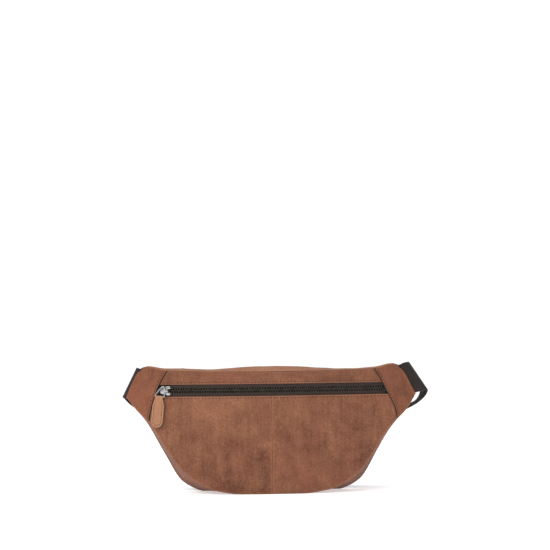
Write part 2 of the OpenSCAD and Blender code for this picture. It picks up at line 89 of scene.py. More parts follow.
def curve(points, x):
    """A cubic through the points that never overshoots them."""
    p = np.array(points, float)
    x = np.clip(np.abs(x), p[0, 0], p[-1, 0])
    rise = np.diff(p[:, 1]) / np.diff(p[:, 0])
    a, b = rise[:-1], rise[1:]
    inner = np.where(a * b <= 0, 0, 2 * a * b / np.where(a + b == 0, 1, a + b))
    slope = np.concatenate([[0 if p[0, 0] == 0 else rise[0]], inner, [rise[-1]]])
    i = np.clip(np.searchsorted(p[:, 0], x) - 1, 0, len(p) - 2)
    h = p[i + 1, 0] - p[i, 0]
    t = (x - p[i, 0]) / h
    return ((2 * t**3 - 3 * t**2 + 1) * p[i, 1] + (t**3 - 2 * t**2 + t) * h * slope[i]
            + (3 * t**2 - 2 * t**3) * p[i + 1, 1] + (t**3 - t**2) * h * slope[i + 1])


def smooth(t):
    t = np.clip(t, 0, 1)
    return t * t * (3 - 2 * t)


def mix(a, b, t):
    return a * (1 - t) + b * t


def bezier(a, b, c, t):
    return (1 - t)**2 * a + 2 * t * (1 - t) * b + t**2 * c


def arc_front(x):
    return ARC_Y - np.sqrt(FRONT_R**2 - x**2)


def face_profile(z):
    over = 8 * (np.maximum(z - 130, 0) / 13)**1.4
    t = np.clip((112 - z) / 112, 0, 1)
    return over + BELLY * t * t * (9.53 * t - 8.47)


def back_face(x, z):
    return (BACK_Y - 5 * (np.maximum(0, z - 75) / 71)**1.6 - (np.maximum(0, 25 - z) / 25)**2
            - 9 * (np.abs(x) / TIP_X)**4)


def front_face(x, z):
    pillow = arc_front(x) + face_profile(z) * (1 - (x / 150)**2)
    from_end = (TIP_X - np.abs(x)) * 0.904 + (111 - z) * 0.428
    s = np.clip(1 - from_end / WING_FADE, 0, 1)**2
    return mix(pillow, back_face(x, z) - WING_EDGE, s)


def lean(points):
    """The filled pack bulges outward a little below its right wing."""
    x, z = points[..., 0], points[..., 2]
    out = 5.0 * smooth((x - 118) / 26) * np.exp(-((z - 93) / 20)**2)
    return points + out[..., None] * np.array([1, 0, 0])


def on_front_face(x, z):
    return lean(np.stack([x, front_face(x, z), z], -1))


def on_back_face(x, z):
    return lean(np.stack([x, back_face(x, z), z], -1))


def ripple(u, v, size, seed):
    """Smooth unevenness between about -1 and 1, with bumps about size across."""
    r = np.random.default_rng(seed)
    total = 0
    for angle in np.linspace(0, math.pi, 7, endpoint=False) + r.uniform(0, 0.4, 7):
        k = 2 * math.pi / (size * r.uniform(1.4, 2.6))
        total = total + np.sin(k * (u * math.cos(angle) + v * math.sin(angle)) + r.uniform(0, 6.28))
    return total / 3.2


# ---------------------------------------------------------------- meshes

def in_scene(name, data):
    obj = bpy.data.objects.new(name, data)
    bpy.context.scene.collection.objects.link(obj)
    return obj


def add_mesh(name, points, faces, body, material, replaces=(), attributes=None, second=None,
             turn_out=False):
    """A smooth mesh from points in millimetres. second is (material, first face that has it)."""
    mesh = bpy.data.meshes.new(name)
    mesh.from_pydata((np.asarray(points, float).reshape(-1, 3) * MM).tolist(), [], faces)
    for key, values in (attributes or {}).items():
        layer = mesh.attributes.new(key, "FLOAT", "POINT")
        layer.data.foreach_set("value", np.asarray(values, np.float32).ravel())
    mesh.materials.append(material)
    index = np.zeros(len(mesh.polygons), np.int32)
    if second:
        mesh.materials.append(second[0])
        index[second[1]:] = 1
    mesh.polygons.foreach_set("material_index", index)
    mesh.polygons.foreach_set("use_smooth", np.ones(len(mesh.polygons), bool))
    mesh.validate()
    if turn_out:
        turn_faces_out(mesh)
    obj = in_scene(name, mesh)
    if body:
        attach(obj, body)
    if replaces:
        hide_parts(*replaces)
    return obj


def turn_faces_out(mesh):
    bm = bmesh.new()
    bm.from_mesh(mesh)
    bmesh.ops.recalc_face_normals(bm, faces=bm.faces)
    bm.to_mesh(mesh)
    bm.free()


def grid_faces(cols, rows, flip=False, start=0):
    i, j = np.meshgrid(np.arange(cols - 1), np.arange(rows - 1), indexing="ij")
    a = (i * rows + j + start).ravel()
    quads = np.stack([a, a + rows, a + rows + 1, a + 1], -1)
    return (quads[:, ::-1] if flip else quads).tolist()


def rim_faces(cols, rows, flip=False):
    """Quads that join the borders of two equal grids, one after the other in the point list."""
    k = cols * rows
    rim = ([i * rows for i in range(cols - 1)] + [(cols - 1) * rows + j for j in range(rows - 1)]
           + [i * rows + rows - 1 for i in range(cols - 1, 0, -1)] + list(range(rows - 1, 0, -1)))
    quads = [[a, a + k, b + k, b] for a, b in zip(rim, rim[1:] + rim[:1])]
    return [q[::-1] for q in quads] if flip else quads


def two_layers(outer, inner, flip=False):
    """Points and faces of a closed sheet between two equal grids."""
    cols, rows = outer.shape[:2]
    faces = (grid_faces(cols, rows, flip) + grid_faces(cols, rows, not flip, cols * rows)
             + rim_faces(cols, rows, flip))
    return np.concatenate([outer.reshape(-1, 3), inner.reshape(-1, 3)]), faces


def merge(parts):
    """One list of points and one of faces from several."""
    points, faces, k = [], [], 0
    for p, f in parts:
        points.append(np.asarray(p, float))
        faces += [[i + k for i in q] for q in f]
        k += len(p)
    return np.concatenate(points), faces


def lay(s, t):
    """The weave's attributes for both layers of a strip: the places along and across it."""
    s, t = np.meshgrid(s, t, indexing="ij")
    return {"lay_s": np.tile(s.ravel(), 2), "lay_t": np.tile(t.ravel(), 2)}


def spread(length, step, fine=(True, True)):
    """Shares from 0 to 1 of a length, about step apart and closer at the fine ends."""
    near = np.array([0, 0.1, 0.25, 0.45, 0.7, 1.0, 1.4, 1.8, 2.2, 2.7, 3.4])
    a = near if fine[0] else np.array([0.0])
    b = length - near[::-1] if fine[1] else np.array([float(length)])
    middle = np.linspace(a[-1], b[0], max(2, round((b[0] - a[-1]) / step)) + 1)[1:-1]
    return np.concatenate([a, middle, b]) / length


def unit(v):
    return v / np.maximum(np.linalg.norm(v, axis=-1, keepdims=True), 1e-9)


def normals(grid, out):
    return unit(np.cross(np.gradient(grid, axis=0), np.gradient(grid, axis=1))) * out


def edge_distances(grid):
    """Each point's distance from the grid's borders: first and last column, first and last row."""
    found = []
    for turned in (grid, grid.transpose(1, 0, 2)):
        steps = np.linalg.norm(np.diff(turned, axis=0), axis=2)
        run = np.concatenate([np.zeros((1, turned.shape[1])), np.cumsum(steps, 0)])
        for border, inward, far in ((turned[0], turned[1] - turned[0], run),
                                    (turned[-1], turned[-2] - turned[-1], run[-1] - run)):
            slant = np.linalg.norm(np.cross(unit(np.gradient(border, axis=0)), unit(inward)), axis=1)
            found.append(far * np.maximum(slant, 0.2))
    return [found[0], found[1], found[2].T, found[3].T]


def roundover(d, r):
    """How far a rounded edge of radius r falls below the face at distance d from the edge."""
    return r - np.sqrt(np.maximum(r * r - (r - np.clip(d, 0, r))**2, 0))


def dent(d, centre, width):
    return np.exp(-((d - centre) / width)**2)


MIN_THICK = 0.25         # a sheet is never thinner than this
INSIDE_EDGE = 3.0        # the inner layer counts as this far from any edge, so it isn't rubbed


def sheet_piece(name, grid, out, thick, drop, look, paint=None):
    """A closed sheet for the CAD node of its name. Its outer face is the grid, lowered by drop."""
    n = normals(grid, out)
    points, faces = two_layers(grid - n * drop[..., None],
                               grid - n * np.maximum(thick, drop + MIN_THICK)[..., None], out < 0)
    near = np.minimum.reduce(edge_distances(grid)).ravel()
    painted = np.zeros(near.size) if paint is None else paint.ravel()
    return add_mesh(name, points, faces, "shell", LOOKS[look], [name],
                    {"edge": np.concatenate([near, np.full(near.size, INSIDE_EDGE)]),
                     "paint": np.concatenate([painted, painted])})


def leather(name, grid, out, drop, look, paint=None):
    """A leather piece. Its outer face and normals are returned for its stitches."""
    sheet_piece(name, grid, out, LEATHER, drop, look, paint)
    n = normals(grid, out)
    return grid - n * drop[..., None], n


def around(sides):
    return np.linspace(0, 2 * math.pi, sides, endpoint=False)


def rod_faces(rings, sides):
    """Faces of a closed rod whose points come ring by ring."""
    faces = [[i * sides + j, i * sides + (j + 1) % sides, (i + 1) * sides + (j + 1) % sides,
              (i + 1) * sides + j] for i in range(rings - 1) for j in range(sides)]
    last = (rings - 1) * sides
    return faces + [list(range(sides))[::-1], list(range(last, last + sides))]


def capsule(centre, along, up, half, wide, high, bow, sides=8):
    """Points and faces of a rounded rod that bends down by bow at its ends."""
    across = np.cross(along, up)
    stations = (-1, -0.85, -0.45, 0, 0.45, 0.85, 1)
    points = []
    for s in stations:
        r = math.sqrt(max(0.0, 1 - s**4)) + 0.02
        for a in around(sides):
            points.append(centre + along * s * half + across * r * wide * math.cos(a)
                          + up * (r * high * math.sin(a) - bow * s * s))
    return points, rod_faces(len(stations), sides)


PITCH, WING_PITCH = 4.2, 4.0      # from one stitch to the next
# a thread is flattened and dips into the leather at its ends; a dark pit of painted shade, standing for its
# needle hole, is longer and wider than it
THREAD_FLAT, THREAD_BOW = 0.45, 0.22
PIT_LONGER, PIT_WIDER, PIT_HIGH, PIT_SINK = 0.35, 0.3, 0.2, 0.02


def stitches(name, path, outward, body, pitch=PITCH, length=1.7, width=0.8, sink=0.0, shade_pits=True,
             look="thread"):
    """Threads along a path, each in its own small dark pit of painted shade that stands for its needle hole.
    """
    path, outward = np.asarray(path, float), np.asarray(outward, float)
    run = np.concatenate([[0], np.cumsum(np.linalg.norm(np.diff(path, axis=0), axis=1))])
    count = max(1, int(run[-1] // pitch))

    def at(s, values=path):
        return np.array([np.interp(s, run, values[:, k]) for k in range(3)])

    threads, hole_shades = [], []
    for i in range(count):
        s = (run[-1] - count * pitch) / 2 + (i + 0.5) * pitch
        along, up = unit(at(s + 0.3) - at(s - 0.3)), unit(at(s, outward))
        tilted = unit(along + np.cross(along, up) * rng.uniform(-0.06, 0.06))
        threads.append(capsule(at(s) - up * sink, tilted, up, length / 2, width / 2,
                               width * THREAD_FLAT, THREAD_BOW))
        # a dark pit round the thread: painted shade for its needle hole
        hole_shades.append(capsule(at(s) - up * (sink + PIT_SINK), along, up, length / 2 + PIT_LONGER,
                             width / 2 + PIT_WIDER, PIT_HIGH, 0.0))
    points, faces = merge(threads + hole_shades if shade_pits else threads)
    first_hole_shade = sum(len(f) for _, f in threads)
    second = (LOOKS["needle_hole_shade"], first_hole_shade) if shade_pits else None
    return add_mesh(name, points, faces, body, LOOKS[look], second=second)


def tube(points, normal, radius, sides=14):
    """Points and faces of a closed wire loop that lies in a plane."""
    points = np.asarray(points, float)
    along = unit(np.roll(points, -1, 0) - np.roll(points, 1, 0))
    across = np.cross(along, normal)
    turn = around(sides)
    rings = (points[:, None] + radius * (np.cos(turn)[None, :, None] * across[:, None]
                                         + np.sin(turn)[None, :, None] * np.asarray(normal, float)))
    n = len(points)
    faces = [[i * sides + j, i * sides + (j + 1) % sides, (i + 1) % n * sides + (j + 1) % sides,
              (i + 1) % n * sides + j] for i in range(n) for j in range(sides)]
    return rings.reshape(-1, 3), faces


# ---------------------------------------------------------------- materials

def srgb(*seen):
    """A colour as it is seen on a screen, 0 to 255, in linear light."""
    return tuple(c / 255 / 12.92 if c < 10.3 else ((c / 255 + 0.055) / 1.055)**2.4 for c in seen) + (1,)


class Look:
    """A Principled material whose nodes are added one by one."""

    def __init__(self, name, **settings):
        self.material = bpy.data.materials.new(name)
        self.material.use_nodes = True
        self.tree = self.material.node_tree
        self.shader = self.tree.nodes["Principled BSDF"]
        for key, value in settings.items():
            self.shader.inputs[key.replace("_", " ")].default_value = value
        self.place = self.node("ShaderNodeTexCoord").outputs["Object"]

    def node(self, kind, out=None, settings=None, **inputs):
        n = self.tree.nodes.new(kind)
        for key, value in (settings or {}).items():
            setattr(n, key, value)
        for key, value in inputs.items():
            place = int(key[1:]) if key[0] == "_" else key.replace("_", " ")
            self.put(n.inputs[place], value)
        return n if out is None else n.outputs[out]

    def put(self, socket, value):
        if isinstance(value, bpy.types.NodeSocket):
            self.tree.links.new(value, socket)
        else:
            socket.default_value = value

    def scaled(self, x, y, z, place=None):
        return self.node("ShaderNodeMapping", "Vector", Vector=place or self.place, Scale=(x, y, z))

    def noise(self, scale, detail=2, rough=0.5, place=None, twist=0.0):
        return self.node("ShaderNodeTexNoise", "Fac", Vector=place or self.place, Scale=scale,
                         Detail=detail, Roughness=rough, Distortion=twist)

    def fit(self, value, low, high, to_low=0.0, to_high=1.0):
        return self.node("ShaderNodeMapRange", "Result", Value=value, From_Min=low, From_Max=high,
                         To_Min=to_low, To_Max=to_high)

    def maths(self, how, a, b=0.0, c=0.0):
        return self.node("ShaderNodeMath", 0, {"operation": how}, _0=a, _1=b, _2=c)

    def blend(self, share, a, b):
        """Colour a at share 0 and colour b at share 1."""
        return self.node("ShaderNodeMix", 2, {"data_type": "RGBA"}, Factor=share, _6=a, _7=b)

    def attribute(self, name):
        return self.node("ShaderNodeAttribute", "Fac", {"attribute_name": name})

    def bump(self, height, distance, strength=1.0, under=None):
        inputs = {"Height": height, "Distance": distance, "Strength": strength}
        if under is not None:
            inputs["Normal"] = under
        return self.node("ShaderNodeBump", "Normal", **inputs)

    def finish(self, colour, normal=None, roughness=None):
        self.put(self.shader.inputs["Base Color"], colour)
        if normal is not None:
            self.put(self.shader.inputs["Normal"], normal)
        if roughness is not None:
            self.put(self.shader.inputs["Roughness"], roughness)
        return self.material


def nubuck(name, light, dark, glow):
    """Brushed leather: soft patches, faint upright streaks, a short nap, rubbed edges, and painted light
    that makes it lighter towards the top.
    """
    look = Look(name, Specular_IOR_Level=0.2, Sheen_Weight=0.06, Sheen_Roughness=0.5)
    patches = look.noise(26, 3, 0.6, twist=0.4)
    clouds = look.noise(70, 2, 0.5)
    streaks = look.noise(1, 3, 0.6, look.scaled(260, 260, 18))
    nap = look.noise(520, 4, 0.75)
    tone = look.maths("MULTIPLY", patches, 0.40)
    for part, share in ((clouds, 0.22), (streaks, 0.20), (nap, 0.62)):
        tone = look.maths("MULTIPLY_ADD", part, share, tone)
    # painted light: the leather is made lighter towards the top and darker towards the bottom, standing in
    # for the lights falling from above
    height = look.node("ShaderNodeSeparateXYZ", 2, Vector=look.place)
    tone = look.maths("ADD", tone, look.fit(height, 0.03, 0.12, -0.03, 0.04))
    base = look.blend(look.fit(tone, 0.55, 0.91), dark, light)
    red = look.blend(look.fit(look.noise(34, 2, 0.5, look.scaled(1, 1, 0.6)), 0.52, 0.72, 0, 0.3),
                     base, srgb(132, 76, 60))
    rubbed = look.blend(look.fit(look.attribute("edge"), 0.0, 2.6, 0.42, 0.0), red, glow)
    pores = look.blend(look.fit(look.noise(1300, 3, 0.7), 0.34, 0.5, 0.55, 0.0), rubbed, srgb(84, 50, 40))
    painted = look.blend(look.attribute("paint"), pores, srgb(34, 20, 17))
    creases = look.node("ShaderNodeTexVoronoi", "Distance", {"feature": "DISTANCE_TO_EDGE"},
                        Vector=look.place, Scale=620.0)
    relief = look.bump(nap, 0.0005, 0.6)
    relief = look.bump(creases, 0.0002, 0.2, relief)
    relief = look.bump(clouds, 0.0012, 0.35, relief)
    return look.finish(painted, relief, look.fit(nap, 0.3, 0.7, 0.82, 0.97))


def suede():
    """The pull tabs' leather, with dark stitched grooves and lighter rims."""
    look = Look("tab_suede", Specular_IOR_Level=0.25, Sheen_Weight=0.25, Sheen_Roughness=0.5)
    tone = look.blend(look.noise(160, 3, 0.6), srgb(136, 92, 66), srgb(166, 120, 89))
    nap = look.noise(1300, 3, 0.7)
    grain = look.blend(look.fit(nap, 0.35, 0.65, 0.22, 0.0), tone, srgb(128, 84, 60))
    rim = look.blend(look.fit(look.attribute("edge"), 0.2, 1.5, 0.55, 0.0), grain, srgb(192, 149, 116))
    painted = look.blend(look.attribute("paint"), rim, srgb(70, 42, 30))
    return look.finish(painted, look.bump(nap, 0.0003, 0.5), 0.88)


def woven(name, warp, weft, along, across, depth, rough=0.75, sheen=0.1):
    """Cloth woven from bands: along and across are threads per metre on the lay attributes."""
    look = Look(name, Specular_IOR_Level=0.3, Sheen_Weight=sheen, Sheen_Roughness=0.4)
    s = look.maths("MULTIPLY", look.attribute("lay_s"), along * 2 * math.pi * MM)
    t = look.maths("MULTIPLY", look.attribute("lay_t"), across * 2 * math.pi * MM)
    a = look.maths("SINE", look.maths("ADD", s, look.maths("MULTIPLY", t, 0.5)))
    height = look.maths("MULTIPLY_ADD", a, 0.5, look.maths("MULTIPLY", look.maths("SINE", t), 0.5))
    fuzz = look.noise(1500, 3, 0.7)
    shade = look.blend(look.fit(height, -0.8, 0.8), weft, warp)
    worn = look.blend(look.fit(fuzz, 0.35, 0.75, 0, 0.35), shade, tuple(1.9 * c for c in warp[:3]) + (1,))
    relief = look.bump(fuzz, 0.0001, 0.4, look.bump(height, depth, 0.8))
    return look.finish(worn, relief, rough)


def cloth(name, light, dark, threads):
    """A plain weave that needs no lay: two crossed waves over the piece's own place."""
    look = Look(name, Specular_IOR_Level=0.3, Sheen_Weight=0.2, Sheen_Roughness=0.4)
    waves = [look.node("ShaderNodeTexWave", "Fac", {"bands_direction": d}, Vector=look.place, Scale=threads,
                       Distortion=0.6, Detail=1.0) for d in ("X", "Z")]
    height = look.maths("MULTIPLY", *waves)
    colour = look.blend(look.fit(height, 0.1, 0.8), dark, light)
    tint = look.blend(look.fit(look.noise(90), 0.3, 0.7, 0, 0.25), colour, dark)
    return look.finish(tint, look.bump(height, 0.00015, 0.6), 0.8)


def metal(name, bright, dull, rough, scratches, dirt=0.0):
    look = Look(name, Metallic=1.0)
    haze = look.noise(220, 3, 0.6)
    hair = look.noise(1, 2, 0.5, look.scaled(400, 4000, 4000))
    colour = look.blend(look.fit(haze, 0.3, 0.75, 0, 0.6 + dirt), bright, dull)
    rougher = look.fit(look.maths("ADD", haze, look.maths("MULTIPLY", hair, 0.4)), 0.4, 0.95,
                       rough, rough + 0.16)
    return look.finish(colour, look.bump(hair, 0.00003, scratches), rougher)


def plastic():
    look = Look("moulded_plastic", Specular_IOR_Level=0.45)
    grain = look.noise(2600, 2, 0.6)
    colour = look.blend(look.fit(look.noise(60), 0.3, 0.7), srgb(38, 31, 28), srgb(50, 41, 37))
    return look.finish(colour, look.bump(grain, 0.00006, 0.5), look.fit(grain, 0.3, 0.7, 0.42, 0.6))


def thread_look(name, light, dark):
    look = Look(name, Specular_IOR_Level=0.3, Sheen_Weight=0.2)
    ply = look.noise(1600, 2, 0.5)
    return look.finish(look.blend(ply, dark, light), look.bump(ply, 0.00012, 0.6), 0.7)


LOOKS = {
    "panel": nubuck("nubuck_panel", srgb(146, 98, 72), srgb(86, 50, 36), srgb(160, 110, 82)),
    "wing": nubuck("nubuck_wing", srgb(136, 84, 59), srgb(82, 45, 31), srgb(148, 96, 69)),
    "band": nubuck("nubuck_band", srgb(136, 89, 65), srgb(80, 46, 33), srgb(148, 100, 74)),
    # the top strips' nubuck is the panel's leather painted lighter, a painted highlight for strips that face
    # up to the lights
    "top": nubuck("nubuck_top_painted_light", srgb(158, 112, 84), srgb(112, 73, 53), srgb(162, 113, 86)),
    "back": nubuck("nubuck_back", srgb(138, 91, 67), srgb(88, 52, 38), srgb(156, 106, 79)),
    "suede": suede(),
    "thread": thread_look("sewing_thread", srgb(92, 58, 46), srgb(62, 38, 31)),
    "dark_thread": thread_look("dark_thread", srgb(66, 42, 34), srgb(40, 26, 22)),
    # painted shade: the dark colour of the pits that stand for the shade in the needle holes
    "needle_hole_shade": thread_look("needle_hole_shade", srgb(44, 26, 21), srgb(30, 17, 14)),
    "tape": woven("zip_tape", srgb(56, 44, 38), srgb(32, 24, 21), 1100, 1500, 0.00015),
    "webbing": woven("belt_webbing", srgb(42, 33, 29), srgb(20, 15, 13), 620, 500, 0.0003, 0.7, 0.05),
    "elastic": woven("elastic_band", srgb(48, 40, 38), srgb(26, 21, 20), 900, 700, 0.0003),
    "lining": cloth("lining_cloth", srgb(84, 72, 62), srgb(52, 44, 38), 900),
    "foam": cloth("foam_skin", srgb(96, 92, 86), srgb(70, 66, 62), 300),
    "teeth": metal("gunmetal_teeth", srgb(92, 86, 76), srgb(52, 47, 42), 0.4, 0.3, 0.2),
    "nickel": metal("bright_nickel", srgb(176, 176, 178), srgb(112, 112, 114), 0.2, 0.12),
    "plastic": plastic(),
}

# ---------------------------------------------------------------- leather shell


def columns(x, shares, lo, hi):
    """A grid of x, z from lo(x) to hi(x) with the given shares of the height."""
    low, high = lo(x)[:, None], hi(x)[:, None]
    return np.broadcast_to(x[:, None], (len(x), len(shares))), mix(low, high, shares[None, :])


def seam_z(x):
    return curve(WING_SEAM, np.maximum(np.abs(x), WING_SEAM[0][0]))


STITCH_IN = 2.0          # stitches run this far from a folded edge
SEAM_IN, CHANNEL_X = 4.0, 62      # the back's edge seam, and its two padding channels


def groove(d, along, pitch=PITCH, deep=0.28, wide=0.55, pull=0.07):
    """A stitched groove at distance d from an edge, pulled unevenly along it by the thread."""
    wave = np.cos(2 * math.pi * along / pitch)
    return deep * dent(d, STITCH_IN, wide) + pull * dent(d, STITCH_IN, 1.6) * wave


def front_panel(side):
    name = "front_panel_right" if side > 0 else "front_panel_left"
    x = mix(GAP / 2, 145.6, spread(145.5, 1.5))
    x = x if side > 0 else -x[::-1]
    z_top = lambda v: np.minimum(WINDOW_LO, seam_z(v) - GAP)
    x, z = columns(x, spread(114, 1.5), lambda v: curve(FRONT_LOW, v), z_top)
    grid = on_front_face(x, z)
    first, last, low, high = edge_distances(grid)
    middle = first if side > 0 else last
    at_wing = smooth((np.abs(x) - 137.5) / 2.0)
    drop = roundover(low, 2.2) + roundover(middle, 0.35)
    drop += mix(roundover(high, 0.9), 1.1 * (1 - smooth(high / 3.5)), at_wing)
    drop += groove(high, x, deep=0.28 * (1 - at_wing))
    if side > 0:
        drop -= 0.22 * smooth(middle / 0.5) * (1 - smooth((middle - 1.6) / 0.9))
    drop += 0.25 * dent(low, 4.5, 3.0)
    calm = smooth(np.minimum.reduce([low, high, middle]) / 14)
    drop -= calm * (0.55 * ripple(x, z, 42, 3) + 0.16 * ripple(x, z, 13, 4))
    drop -= 0.10 * smooth(low / 3) * (1 - smooth(low / 12)) * ripple(x, z, 6, 5)
    leather(name, grid, 1, drop, "panel")


def top_band():
    x = mix(-132.2, 132.2, spread(264.4, 1.6))
    z_top = lambda v: np.minimum(curve(FRONT_HIGH, v), seam_z(v) - GAP)
    x, z = columns(x, spread(14.5, 0.9), lambda v: np.full_like(v, WINDOW_HI), z_top)
    grid = on_front_face(x, z)
    _, _, low, high = edge_distances(grid)
    at_wing = smooth((np.abs(x) - 122.5) / 2.0)
    drop = roundover(low, 0.9) + mix(roundover(high, 1.5), 1.1 * (1 - smooth(high / 3.5)), at_wing)
    drop += groove(low, x)
    drop -= smooth(np.minimum(low, high) / 6) * (0.3 * ripple(x, z, 24, 8) + 0.1 * ripple(x, z, 8, 9))
    paint = 0.85 * np.clip(1.3 - high / 0.7, 0, 1) * (1 - at_wing)
    leather("front_top_band", grid, 1, drop, "band", paint)


LAP = 1.3                # the wing's seam edge lies this far over the panel
CORNER_CUT = 3.6         # the wing's top corner is rounded off by this much, over CORNER_FADE of height
CORNER_FADE = 11


def wing_point(u, v):
    """The wing as a patch between its seam, its top, its end and its lower edge."""
    corner, top_left = np.array(WING_SEAM[-1]), np.array(WING_SEAM[0])
    u, v = u[..., None], v[..., None]
    low_x = mix(corner[0], WING_TIP[0], u)
    low = np.concatenate([low_x, curve(FRONT_LOW, low_x)], -1)
    top = bezier(top_left, np.array([146, 151.0]), WING_TOP, u)
    z = mix(corner[1], top_left[1], v)
    flipped = [(b, a) for a, b in reversed(WING_SEAM)]
    seam = np.concatenate([curve(flipped, z) + GAP - LAP, z], -1)
    end = bezier(WING_TIP, np.array([166, 134.0]), WING_TOP, v)
    return (mix(low, top, v) + mix(seam, end, u)
            - mix(mix(corner, WING_TIP, u), mix(top_left, WING_TOP, u), v))


def wing(side):
    name = "wing_right" if side > 0 else "wing_left"
    u, v = np.meshgrid(spread(34, 0.75), spread(64, 0.9), indexing="ij")
    flat = wing_point(u, v)
    x, z = flat[..., 0], flat[..., 1]
    turned = CORNER_CUT * np.clip(1 - (WING_TOP[1] - z) / CORNER_FADE, 0, 1)**2
    x = x - turned * smooth((x - 132) / 18)
    grid = on_front_face(side * x, z)
    seam, end, low, high = edge_distances(grid)
    drop = roundover(seam, 0.75) + roundover(end, 1.0) + roundover(low, 1.8) + roundover(high, 1.4)
    drop -= 1.0 * (1 - smooth(seam / 7)) * smooth(low / 3)
    drop += groove(seam, z, WING_PITCH, 0.3, 0.6, 0.08)
    calm = smooth(np.minimum.reduce([seam, end, low, high]) / 10)
    drop -= calm * (0.5 * ripple(x * side, z, 26, 21 + side) + 0.15 * ripple(x * side, z, 9, 25 + side))
    drop -= 0.35 * dent(end, 6, 2.4)
    paint = np.clip(1.35 - seam / 0.55, 0, 1) + 0.6 * np.clip(1 - end / 0.5, 0, 1)
    outer, n = leather(name, grid, side, drop, "wing", np.clip(paint, 0, 1))
    row = np.argmin(np.abs(seam[:, 40] - STITCH_IN))
    stitches(name + "_stitches", outer[row, 6:-6], n[row, 6:-6], "shell", pitch=WING_PITCH, sink=-0.02)


def zip_stitches():
    x = np.linspace(-133, 136, 300)
    for name, z in (("zip_stitches_low", WINDOW_LO - STITCH_IN),
                    ("zip_stitches_high", WINDOW_HI + STITCH_IN)):
        keep = np.abs(x) < np.interp(z, [109, 131], [138, 129.5])
        line = on_front_face(x[keep], np.full(keep.sum(), z))
        line[:, 1] += 0.26
        stitches(name, line, np.tile([0, -1.0, 0], (len(line), 1)), "shell", sink=-0.04)


def back_panel():
    x = mix(-172, 172, spread(344, 2.0))
    x, z = columns(x, spread(146, 2.0), lambda v: curve(BACK_LOW, v), lambda v: curve(BACK_HIGH, v))
    grid = on_back_face(x, z)
    first, last, low, high = edge_distances(grid)
    drop = roundover(low, 2.2) + roundover(high, 1.4) + roundover(first, 1) + roundover(last, 1)
    for d in (low, high):
        drop += 0.3 * dent(d, SEAM_IN, 0.8)
    channel = np.abs(np.abs(x) - CHANNEL_X)
    inside = smooth(np.minimum(low, high) / 8)
    drop += 1.3 * inside * np.exp(-(channel / 3.2)**2)
    drop -= inside * (0.4 * ripple(x, z, 40, 31) + 0.12 * ripple(x, z, 12, 32))
    outer, n = leather("back_panel", grid, -1, drop, "back")
    for key, centre in (("left", -CHANNEL_X), ("right", CHANNEL_X)):
        col = np.argmin(np.abs(grid[:, 0, 0] - centre))
        stitches(f"back_channel_stitches_{key}", outer[col, 16:-16], n[col, 16:-16], "shell", sink=0.05)
    row = np.argmin(np.abs(high[len(high) // 2] - SEAM_IN))
    keep = slice(18, -18)
    stitches("back_edge_stitches", outer[keep, row], n[keep, row], "shell", sink=0.02)


def strip_edge(low, x, side):
    return np.stack([side * x, curve(low, x)], -1)


def gusset(name, front_x, back_x, sides):
    """A strip from the front seam to the back seam; its outer face is the grid."""
    front = strip_edge(FRONT_LOW, front_x, sides)
    back = strip_edge(BACK_LOW, back_x, sides)
    y_front = front_face(front[:, 0], front[:, 1]) + LEATHER + GAP
    y_back = back_face(back[:, 0], back[:, 1]) - LEATHER - GAP
    t = spread(54, 2.4)[None, :, None]
    a = np.stack([front[:, 0], y_front, front[:, 1]], -1)[:, None]
    b = np.stack([back[:, 0], y_back, back[:, 1]], -1)[:, None]
    grid = lean(mix(a, b, t))
    first, last, low, high = edge_distances(grid)
    drop = roundover(low, 1.3) + roundover(high, 1.3) + roundover(first, 0.6) + roundover(last, 0.6)
    inside = smooth(np.minimum(low, high) / 10)
    drop += inside * (0.5 + 0.5 * ripple(grid[..., 0] + grid[..., 2], grid[..., 1], 18, 41))
    leather(name, grid, -1, drop, "back")


def gussets():
    t = np.linspace(-1, 1, 150)
    gusset("bottom_gusset", np.abs(t) * KINK_FRONT, np.abs(t) * KINK_BACK, np.where(t < 0, -1, 1))
    for key, side in (("left", -1), ("right", 1)):
        t = np.linspace(0, 1, 60)
        t = t if side > 0 else t[::-1]
        gusset(f"side_gusset_{key}", mix(KINK_FRONT + GAP, GUSSET_END, t),
               mix(KINK_BACK + GAP, GUSSET_END, t), side)


def window_edge(x, side):
    return MAIN_Y + side * (GAP / 2 + (WINDOW / 2 - 1) * (1 - smooth((np.abs(x) - MAIN_HALF - 1) / 6)))


